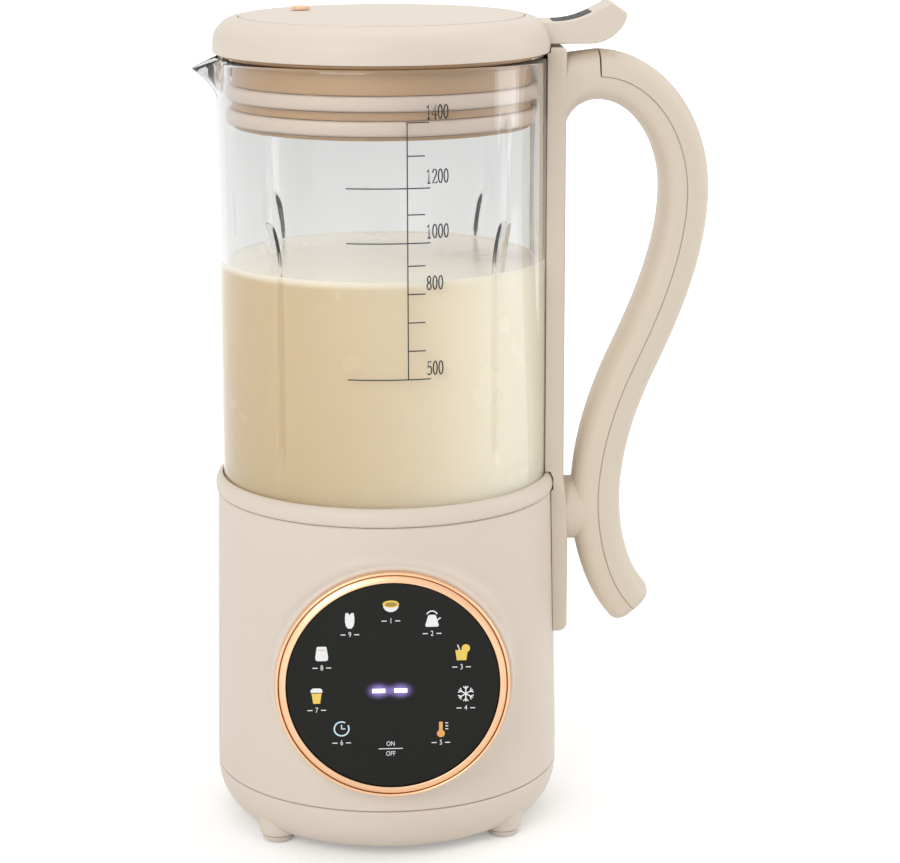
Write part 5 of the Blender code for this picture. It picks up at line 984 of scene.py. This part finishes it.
glass_rows = [glass_row(JUG_FOOT, 0.8), glass_row(JUG_FOOT + 0.3, 0.3)]
glass_rows += [glass_row(height, 0.0) for height in GLASS_HEIGHTS]
for inward, height in quarter((RIM_ROUND, JUG_RIM - RIM_ROUND), (RIM_ROUND, RIM_ROUND), 180, 0)[1:-1]:
    glass_rows.append(glass_row(height, inward))
glass_rows += [glass_row(height, JUG_WALL) for height in reversed(GLASS_HEIGHTS)]
glass_rows += [glass_row(JUG_FOOT + 0.3, JUG_WALL - 0.3), glass_row(JUG_FOOT, JUG_WALL - 0.8)]
jug = skin("blown_jug", [*glass_rows, glass_rows[0]], caps=False)
settle(jug, "machine", "clear_glass", ["glass_jug"], 60.0)

# %% [markdown]
# ### Milk
# The jug is half full. The milk wets the glass, so its skin is the glass's inner face, laid a
# hair inside the wall so that no air shows between them, with a small meniscus at its edge. It
# is left open round the blades, which turn inside it.

# %% Milk skin
MENISCUS = ((0.1, 0.42), (0.35, 0.25), (0.8, 0.1), (1.6, 0.02), (3.0, 0.0), (8.0, 0.0))
BLADE_ROOM, BLADE_ROOM_TOP = 34.0, 158.0
WETTED = 0.15
milk_heights = [129.2, 134.2, *[height for height in GLASS_HEIGHTS if 140.0 < height < 210.0], MILK_TOP + 0.5]
milk_rows = [glass_row(height, JUG_WALL - WETTED) for height in milk_heights]
milk_rows += [glass_row(MILK_TOP + rise, JUG_WALL + inward) for inward, rise in MENISCUS]
milk = skin("nut_milk", milk_rows)
trim(milk, rod("blade_room", BLADE_ROOM, (0.0, 0.0, 120.0), (0.0, 0.0, BLADE_ROOM_TOP)))
settle(milk, "machine", "clear_glass", angle=50.0, material=MILK)

# %% Collar
collar = turned("collar_ring", [
    *quarter((60.5, 127.9), (2.5, 4.4), 90, 0, 14),
    *quarter((61.9, 127.9), (1.1, 2.2), -20, -90, 6),
    (60.5, 125.7),
], back=None)
settle(collar, "machine", "cream_plastic", ["jug_collar"], 50.0)

# %% [markdown]
# ### Printed scale
# The scale is fired on the glass in black. Each line and digit is drawn flat, turned into a mesh
# and wrapped round the jug: what was distance across becomes an angle. The digits are narrow,
# with thin strokes, so they are laid as fine curves and not as the blunt built-in lettering.

# %% Wrap a print round the jug
SCALE_RADIUS = 60.03
PRINT_THICK = 0.02


def wrap(piece, first_angle):
    """Bends a flat upright mesh round the jug, from an angle right of the front."""
    for vertex in piece.data.vertices:
        across, out, up = vertex.co
        turn = math.radians(first_angle) + across / (SCALE_RADIUS * MM)
        radius = SCALE_RADIUS * MM + out
        vertex.co = (radius * math.sin(turn), -radius * math.cos(turn), up)
    piece.location = AXIS
    settle(piece, "machine", "clear_glass", material=SCALE_INK)


def scale_bar(name, from_angle, to_angle, height, thick=0.42):
    """A level line between two angles right of the front."""
    length = math.radians(to_angle - from_angle) * SCALE_RADIUS
    begin()
    bpy.ops.mesh.primitive_grid_add(x_subdivisions=max(2, int(length / 1.5)), y_subdivisions=1, size=MM)
    piece = named(name)
    for vertex in piece.data.vertices:
        vertex.co = ((vertex.co.x + 0.5 * MM) * length, 0.0, height * MM + vertex.co.y * thick)
    thicken(PRINT_THICK)
    wrap(piece, from_angle)


# %% Digits as strokes
DIGIT_BOX = 2.6
DIGIT_LINE, DIGIT_THICK = 0.48, 0.0576


def hoop(centre, radii):
    """An oval stroke, which ends on its first point."""
    points = oval(centre, radii, 20)
    return [*points, points[0]]


# Each digit as strokes in a box one wide and 2.6 tall
DIGITS = {
    "0": [hoop((0.5, 1.3), (0.40, 1.26))],
    "1": [[(0.14, 2.10), (0.34, 2.26), (0.52, 2.56), (0.52, 0.04)], [(0.20, 0.04), (0.84, 0.04)]],
    "2": [[(0.12, 1.92), (0.16, 2.30), (0.36, 2.54), (0.62, 2.54), (0.84, 2.30), (0.88, 1.92), (0.76, 1.46),
           (0.48, 0.92), (0.10, 0.06), (0.92, 0.06), (0.95, 0.36)]],
    "4": [[(0.70, 0.04), (0.70, 2.54), (0.04, 0.78), (0.98, 0.78)], [(0.46, 0.04), (0.94, 0.04)]],
    "5": [[(0.86, 2.52), (0.26, 2.52), (0.18, 1.40), (0.36, 1.62), (0.62, 1.62), (0.86, 1.34), (0.92, 0.86),
           (0.82, 0.34), (0.56, 0.06), (0.30, 0.08), (0.10, 0.36)]],
    "8": [hoop((0.5, 1.94), (0.32, 0.60)), hoop((0.5, 0.68), (0.39, 0.64))],
}


def scale_number(name, words, first_angle, foot, tall=4.8, pitch=2.1):
    """Digits as thin strokes with small feet, as a narrow book face has them."""
    strokes = [
        [((place + across * 0.86) * pitch, foot + up * tall / DIGIT_BOX) for across, up in points]
        for place, digit in enumerate(words)
        for points in DIGITS[digit]
    ]
    wrap(drawn(name, strokes, DIGIT_LINE, DIGIT_THICK), first_angle)


# %% The marks of the scale
TURNED = 2.9
COLUMN, NUMBER_START = (8.9, 9.3), 15.4
MARKS = {1400: 267.8, 1300: 256.4, 1200: 245.3, 1100: 236.2, 1000: 226.3, 900: 218.4, 800: 208.5,
         700: 198.5, 600: 188.5, 500: 178.4}
NUMBERS = {1400: 268.9, 1200: 246.9, 1000: 227.9, 800: 209.9, 500: 179.8}
LONG, SHORT, TOP_MARK = (-11.2, 16.8), (9.2, 15.0), (8.7, 16.4)
middle, tall = (MARKS[1400] + MARKS[500]) / 2, MARKS[1400] - MARKS[500]
scale_bar("scale_line", COLUMN[0] - TURNED, COLUMN[1] - TURNED, middle, tall)
for amount, height in MARKS.items():
    start, end = {1400: TOP_MARK, 1200: LONG, 1000: LONG, 500: LONG}.get(amount, SHORT)
    scale_bar(f"mark_{amount}", start - TURNED, end - TURNED, height)
for amount, foot in NUMBERS.items():
    scale_number(f"number_{amount}", str(amount), NUMBER_START - TURNED, foot)

# %% [markdown]
# ## Handle
# The handle is one long S in two half shells that meet along its middle. The inner shell also
# forms the spine behind the glass and is screwed to the base. Each ring of the skin is a
# superellipse, rounder than a box and squarer than an oval, set square to the handle's line.

# %% The handle's line
SPINE_FACE, SPINE_TOP, SPINE_FOOT = 65.9, 288.6, 70.5
HALF_THICK, HALF_WIDE = 9.0, 12.5
SQUARE = 2.8
START = Vector((77.8, 278.1))
TOP_EASE, EASE = 0.55, 0.34


def heading(degrees):
    """A direction in the machine's side view, 0 pointing out and 90 up."""
    return Vector(around(1.0, degrees)).to_2d()


KNOTS = (
    (START, heading(0.0)),
    (Vector((110.2, 236.0)), heading(-90.0)),
    (Vector((92.0, 172.5)), heading(-115.0)),
    (Vector((78.9, 120.5)), heading(-90.0)),
    (Vector((90.9, 80.4)), heading(-49.0)),
)


def handle_line(steps=22):
    points = []
    for index, ((start, leaving), (end, arriving)) in enumerate(zip(KNOTS, KNOTS[1:])):
        ease = EASE if index else TOP_EASE
        reach = end - start
        first = start + leaving * ease * abs(reach.dot(leaving))
        second = end - arriving * ease * abs(reach.dot(arriving))
        points += [point.to_2d() for point in interpolate_bezier(start, first, second, end, steps)[:-1]]
    points.append(KNOTS[-1][0])
    stations = [(points[0], KNOTS[0][1])]
    for before, point, after in zip(points, points[1:], points[2:]):
        stations.append((point, (after - before).normalized()))
    return [*stations, (points[-1], KNOTS[-1][1])]


# %% The flat seam side of a half ring
RING_POINTS = 64
SEAM = 0.03
SEAM_EASE = ((0.08, 0.32), (0.22, 0.12), (0.50, 0.0))


def seam_places(start, end, count, seam, scale):
    """Points (along, up) across a half shell's seam face, eased down to it at both edges."""
    ease = [(drop * scale, seam + rise * scale) for drop, rise in SEAM_EASE]
    inner = count - 2 * len(ease)
    edge = start - math.copysign(ease[-1][0], start)
    far = end - math.copysign(ease[-1][0], end)
    places = [(start - math.copysign(drop, start), up) for drop, up in ease]
    places += [(edge + (far - edge) * (step + 1) / (inner + 1), seam) for step in range(inner)]
    return places + [(end - math.copysign(drop, end), up) for drop, up in reversed(ease)]


def halved(flat, part, scale):
    """Cuts a ring to its inner or outer half, with a hairline between the two."""
    seam = SEAM * min(1.0, 2 * scale)
    side = 1.0 if part == "outer" else -1.0
    half = RING_POINTS // 2
    first = RING_POINTS // 4 if part == "inner" else 3 * RING_POINTS // 4
    last = first + half
    least = seam + SEAM_EASE[0][1] * scale
    for step in range(half + 1):
        point = flat[(first + step) % RING_POINTS]
        if point[0] * side < least:
            point[0] = least * side
    places = seam_places(flat[last % RING_POINTS][1], flat[first][1], half - 1, seam, scale)
    for step, (along, up) in enumerate(places):
        flat[(last + 1 + step) % RING_POINTS] = [up * side, along]


# %% Rings of the two half shells
END_ROUND = 4.5


def squared(share, size):
    return math.copysign(abs(share) ** (2 / SQUARE), share) * size


def handle_ring(middle, direction, thick, wide, part=None):
    """One ring round the line: whole, or the inner or outer half."""
    flat = []
    for index in range(RING_POINTS):
        angle = 2 * math.pi * index / RING_POINTS
        flat.append([squared(math.cos(angle), thick), squared(math.sin(angle), wide)])
    if part:
        halved(flat, part, thick / HALF_THICK)
    outward = Vector((-direction[1], direction[0]))
    ring = []
    for across, along in flat:
        place = Vector(middle) + outward * across
        ring.append((place[0], along, place[1]))
    return ring


def half_shell(part, start):
    line = handle_line()
    first, direction = line[0]
    rows = [(first + direction * start, direction, 1.0)]
    rows += [(point, along, 1.0) for point, along in line[1:]]
    end, direction = line[-1]
    for share in (0.2, 0.4, 0.55, 0.7, 0.8, 0.88, 0.94, 0.975, 0.993):
        tip = end + direction * END_ROUND * share
        rows.append((tip, direction, (1.0 - share ** SQUARE) ** (1.0 / SQUARE)))
    return [handle_ring(point, along, HALF_THICK * size, HALF_WIDE * size, part)
            for point, along, size in rows]


# %% The bridge from the spine to the arch
BRIDGE_OUT, BRIDGE_FLARE, BRIDGE_RISE = 11.9, 11.8, 1.4


def bridge():
    rings = []
    for share in (-0.2, *[1.0 - math.cos(math.radians(angle)) for angle in range(0, 91, 6)]):
        back = min(1.0, 1.0 - share)
        flare = 1.0 - math.sin(math.acos(max(0.0, 1.0 - share))) if share >= 0.0 else 1.0
        top = START[1] + HALF_THICK - BRIDGE_RISE * back
        under = START[1] - HALF_THICK - BRIDGE_FLARE * flare
        middle = (SPINE_FACE + BRIDGE_OUT * share, (top + under) / 2)
        rings.append(handle_ring(middle, (1.0, 0.0), (top - under) / 2, HALF_WIDE))
    return rings


inner = skin("inner_shell", [*bridge(), *half_shell("inner", 0.3)])
outer = skin("outer_shell", half_shell("outer", 0.6))

# %% Spine and boss
SPINE_BACK, SPINE_WIDE = 56.8, 25.6
SPINE_STEP, STEP_TOP, STEP_FOOT, SPINE_CORNER = 1.6, 131.0, 118.0, 3.0
PEG_RADIUS, PEG_START, PEG_END, PEG_UP = 11.9, 60.0, 75.9, 115.8
foot_face = SPINE_FACE + SPINE_STEP
spine = slab("spine", [
    (SPINE_BACK, SPINE_TOP),
    (SPINE_FACE, SPINE_TOP),
    (SPINE_FACE, STEP_TOP),
    (foot_face, STEP_FOOT),
    *quarter((foot_face - SPINE_CORNER, SPINE_FOOT + SPINE_CORNER), (SPINE_CORNER, SPINE_CORNER), 0, -90),
    (SPINE_BACK, SPINE_FOOT),
], SPINE_WIDE)
fuse(inner, soften(spine, 1.6, 5, 50.0))
fuse(inner, rod("handle_boss", PEG_RADIUS, (PEG_START, 0.0, PEG_UP), (PEG_END, 0.0, PEG_UP)))
trim(inner, turned("spine_room", [
    (61.3, 292.0),
    (61.3, 286.8),
    (60.3, 286.8),
    (60.3, 132.6),
    (62.2, 132.6),
    (63.3, 130.1),
    (63.3, 125.7),
    (62.5, 125.4),
    (shell_radius(67.5) + 0.15, 67.5),
], steps=256))
# The handle shells take the darker cream, which is painted shade.
for part, shell in (("inner", inner), ("outer", outer)):
    settle(shell, "machine", "cream_plastic", [f"handle_{part}_shell"], 40.0, SHADED_HANDLE_CREAM)

# %% [markdown]
# ## Lid
# The lid is a shallow dome with a round disc let into its top, and a tab that reaches over the
# spine for the thumb. Under it sits a plug with two soft seals that press on the glass.

# %% Dome
VENT = (-29.0, 14.0)
VENT_BORE = 2.6
dome = turned("lid_dome", [
    (51.6, 298.4),
    (51.6, 299.5),
    (51.75, 299.65),
    *quarter((51.6, 290.3), (9.3, 9.4), 88, 0, 24),
    (60.9, 287.5),
    (60.8, 287.2),
    (60.5, 287.1),
])


def vent_hole(piece, foot, top):
    trim(piece, rod("vent_hole", VENT_BORE, (*VENT, foot), (*VENT, top)))


# %% Tab over the spine
TAB_FOOT, TAB_WIDE = 289.7, 21.0
TAB_TOP = TAB_FOOT + 7.9
MAGNET_RADIUS, MAGNET_OUT, MAGNET_TOP = 4.3, 66.5, TAB_FOOT + 3.6


def curve_points(*knots, count):
    """Points (out, up) on a curve from the first knot to the last, pulled by the two between."""
    return [tuple(point.to_2d()) for point in interpolate_bezier(*knots, count)]


def tab_top(count=24):
    peak, level = Vector((82.2, TAB_FOOT + 14.8)), Vector((61.5, TAB_TOP))
    run, rise = peak - level
    steep = peak - Vector((run * 0.25, rise * 0.33))
    return curve_points(peak, steep, level + Vector((run * 0.5, 0.0)), level, count=count)


tip, flat_end = Vector((87.7, TAB_FOOT + 10.8)), Vector((74.7, TAB_FOOT))
under = curve_points(flat_end, flat_end + Vector((6.5, 0.0)), tip - Vector((0.0, 5.4)), tip, count=18)
tab = slab("thumb_tab", [(50.0, TAB_FOOT), *under, *tab_top(), (50.0, TAB_TOP)], TAB_WIDE)
fuse(dome, soften(tab, 1.4, 5, 50.0))
trim(dome, turned("lid_room", [
    (58.7, 280.0),
    (58.7, 290.3),
    (55.15, 295.3),
    (49.8, 296.6),
]))
vent_hole(dome, 290.0, 305.0)
trim(dome, rod("magnet_well", MAGNET_RADIUS, (MAGNET_OUT, 0.0, 285.0), (MAGNET_OUT, 0.0, MAGNET_TOP)))

# %% Rubber grip on the tab
GRIP_START, GRIP_END, GRIP_WIDE = 61.5, 75.0, 14.0
MARK_RADIUS, MARK_HALF, MARK_RISE = 0.5, 3.4, 0.45


def grip_band(name, below, above, longer, wide):
    """A slab that follows the tab's dished top, some way below and above it."""
    start, end = GRIP_START - longer, GRIP_END + longer
    dish = [point for point in reversed(tab_top()) if start < point[0] < end]
    line = [(start, TAB_TOP), *dish, (end, dish[-1][1] + (end - dish[-1][0]) * 0.35)]
    under = [(out, up - below) for out, up in line]
    return slab(name, under + [(out, up + above) for out, up in reversed(line)], wide)


trim(dome, grip_band("grip_recess", 1.2, 12.0, 0.3, GRIP_WIDE + 0.6))
settle(dome, "lid", "cream_plastic", ["lid_cover"], 40.0)
grip = soften(grip_band("thumb_grip", 0.9, 0.25, 0.0, GRIP_WIDE), 0.25, 3, 50.0)
for index, out in enumerate((66.0, 68.6, 71.2)):
    up = next(point[1] for point in reversed(tab_top(80)) if point[0] > out) + MARK_RISE
    trim(grip, rod(f"grip_mark_{index}", MARK_RADIUS, (out, -MARK_HALF, up), (out, MARK_HALF, up), 24))
settle(grip, "lid", "grip_rubber", ["lid_tab_pad"])

# %% Top disc and steam vent
DISC_FLAT, DISC_TOP, CROWN = 50.9, 300.0, 0.9
crown_radii = [DISC_FLAT * share for share in (0.98, 0.94, 0.88, 0.8, 0.7, 0.6, 0.5, 0.4, 0.3, 0.2, 0.1)]
disc = turned("crowned_disc", [
    (51.3, 298.7),
    (51.3, 299.75),
    (51.15, 299.93),
    (DISC_FLAT, DISC_TOP),
    *[(radius, DISC_TOP + CROWN * (1.0 - (radius / DISC_FLAT) ** 2)) for radius in crown_radii],
])
vent_hole(disc, 297.0, 305.0)
settle(disc, "lid", "cream_plastic", ["lid_top_disc"], 40.0)
vent = turned("vent_button", [
    (3.5, 300.9),
    (3.5, 301.3),
    *quarter((2.6, 301.35), (0.9, 0.75), 0, 85),
    (1.3, 302.25),
], back=[(2.3, 300.9), (2.3, 295.3)], steps=SMALL_ROUND, centre=spot(*VENT, 0.0))
settle(vent, "steam_vent", "peach_plastic", ["steam_vent_cap"])

# %% Plug
GROOVE, LAND = 52.6, 54.0
plug = turned("plug_cup", [
    (53.0, 260.9),
    *quarter((53.0, 261.9), (1.0, 1.0), -60, 0, 4),
    (LAND, 262.2),
    (GROOVE, 262.2),
    (GROOVE, 268.0),
    (LAND, 268.0),
    (LAND, 270.7),
    (GROOVE, 270.7),
    (GROOVE, 276.5),
    (LAND, 276.5),
    (LAND, 286.0),
    (58.3, 286.0),
    (58.3, 287.4),
    (51.8, 287.4),
    (51.8, 264.0),
    (50.7, 262.9),
])
vent_hole(plug, 255.0, 270.0)
settle(plug, "lid", "tan_plastic", ["lid_plug"], 40.0)

# %% Seals
LIP = 1.3
for level, top in (("upper", 276.2), ("lower", 267.7)):
    seal = turned(f"lip_seal_{level}", [
        (52.9, top),
        (54.6, top),
        *quarter((54.9, top - LIP), (LIP, LIP), 90, 12),
        (56.4, top - 2 * LIP),
        *quarter((54.9, top - 3 * LIP), (LIP, LIP), -12, -90),
        (52.9, top - 4 * LIP),
    ], back=None)
    settle(seal, "lid", "pale_silicone", [f"lid_seal_{level}"], 50.0)

# %% [markdown]
# ## Floor, light and camera
# A plain pale floor runs to the horizon. It glows a little for the camera and in reflections,
# more with distance, so it reads as a white sheet and still takes the soft shadow of the base.
# Seen through the glass it glows less, so that the empty part of the jug shows its faint grey.
# Large soft lamps stand at the front, at one side and overhead, as in a product studio, and the
# camera has a long lens at the height of the lid.

# %% Floor
FLOOR_RADIUS = 14.0
NEAR, FAR = 0.15, 1.4
NEAR_GLOW, FAR_GLOW = 0.25, 0.92
DIMMED = 0.85


def in_view(tree, ray):
    """1 for what the camera sees, by itself, in a reflection or through glass, and 0 for the rest."""
    seen = reckon(tree, "ADD", ray["Is Camera Ray"], ray["Is Glossy Ray"])
    return reckon(tree, "ADD", seen, ray["Is Transmission Ray"], clamp=True)


def floor_finish():
    made = finish("pale floor", (0.88, 0.88, 0.88), (0.90, 0.90, 0.90), drift=2.0, gloss=(0.8, 0.9),
                  relief=0.0, Specular_IOR_Level=0.0)
    tree = made.node_tree
    ray = add_node(tree, "LightPath").outputs
    seen = reckon(tree, "MULTIPLY_ADD", ray["Is Transmission Ray"], -DIMMED, in_view(tree, ray))
    away = add_node(tree, "VectorMath", {0: object_place(tree)}, operation="LENGTH").outputs["Value"]
    further = ramp(tree, away, NEAR, FAR, NEAR_GLOW, FAR_GLOW, "SMOOTHSTEP")
    strength = reckon(tree, "MULTIPLY", seen, further)
    glow = add_node(tree, "Emission", {"Strength": strength}).outputs["Emission"]
    lit = tree.nodes["Principled BSDF"].outputs["BSDF"]
    show(made, add_node(tree, "AddShader", {0: lit, 1: glow}).outputs["Shader"])
    return made


begin()
bpy.ops.mesh.primitive_circle_add(
    vertices=96, radius=FLOOR_RADIUS, fill_type="NGON", location=(0.0, 0.0, -0.4 * MM)
)
floor = named("floor")
floor.data.materials.append(floor_finish())
print("floor", 2 * FLOOR_RADIUS, "m across")

# %% World
LIGHT_LEVEL = 0.63
world = bpy.data.worlds.new("studio")
bpy.context.scene.world = world
world.use_nodes = True
sky_tree = world.node_tree
sky = sky_tree.nodes["Background"]
seen = in_view(sky_tree, add_node(sky_tree, "LightPath").outputs)
feed(sky_tree, sky.inputs["Color"], (1.0, 1.0, 1.0))
feed(sky_tree, sky.inputs["Strength"], ramp(sky_tree, seen, 0.0, 1.0, LIGHT_LEVEL, 1.0))
print("world lights at", LIGHT_LEVEL)

# %% Lamps
def lamp(name, place, aim, width, height, power):
    begin()
    bpy.ops.object.light_add(type="AREA", location=Vector(place))
    made = named(name)
    made.data.shape = "RECTANGLE"
    made.data.size, made.data.size_y = width, height
    made.data.energy = power
    made.rotation_mode = "QUATERNION"
    made.rotation_quaternion = (Vector(aim) - Vector(place)).to_track_quat("-Z", "Y")
    print(name, power, "W")


lamp("front_softbox", (-0.75, -1.30, 0.95), (0.0, 0.0, 0.15), 0.9, 0.9, 9.3)
lamp("side_softbox", (1.40, 0.10, 0.60), (0.0, 0.0, 0.15), 0.6, 1.1, 5.0)
lamp("top_softbox", (0.0, 0.25, 1.45), (0.0, 0.0, 0.2), 1.0, 0.8, 4.0)

# %% Camera
YAW, PITCH, ROLL = -0.0582, 0.2340, -0.0020
STAND = (-0.0561, -0.9483, 0.3722)
LENS, SENSOR = 104.76, 36.0
camera_data = bpy.data.cameras.new("camera")
camera_data.sensor_width = SENSOR
camera_data.lens = LENS
camera = bpy.data.objects.new("camera", camera_data)
bpy.context.scene.collection.objects.link(camera)
right = Vector((math.cos(YAW), math.sin(YAW), 0.0))
ahead = Vector((-math.sin(YAW) * math.cos(PITCH), math.cos(YAW) * math.cos(PITCH), -math.sin(PITCH)))
up = right.cross(ahead)
across = right * math.cos(ROLL) + up * math.sin(ROLL)
above = up * math.cos(ROLL) - right * math.sin(ROLL)
camera.rotation_mode = "QUATERNION"
camera.rotation_quaternion = Matrix((across, above, -ahead)).transposed().to_quaternion()
camera.location = STAND
bpy.context.scene.camera = camera
bpy.context.scene.view_settings.view_transform = "Standard"
print("camera", round(camera.location.length, 2), "m away")
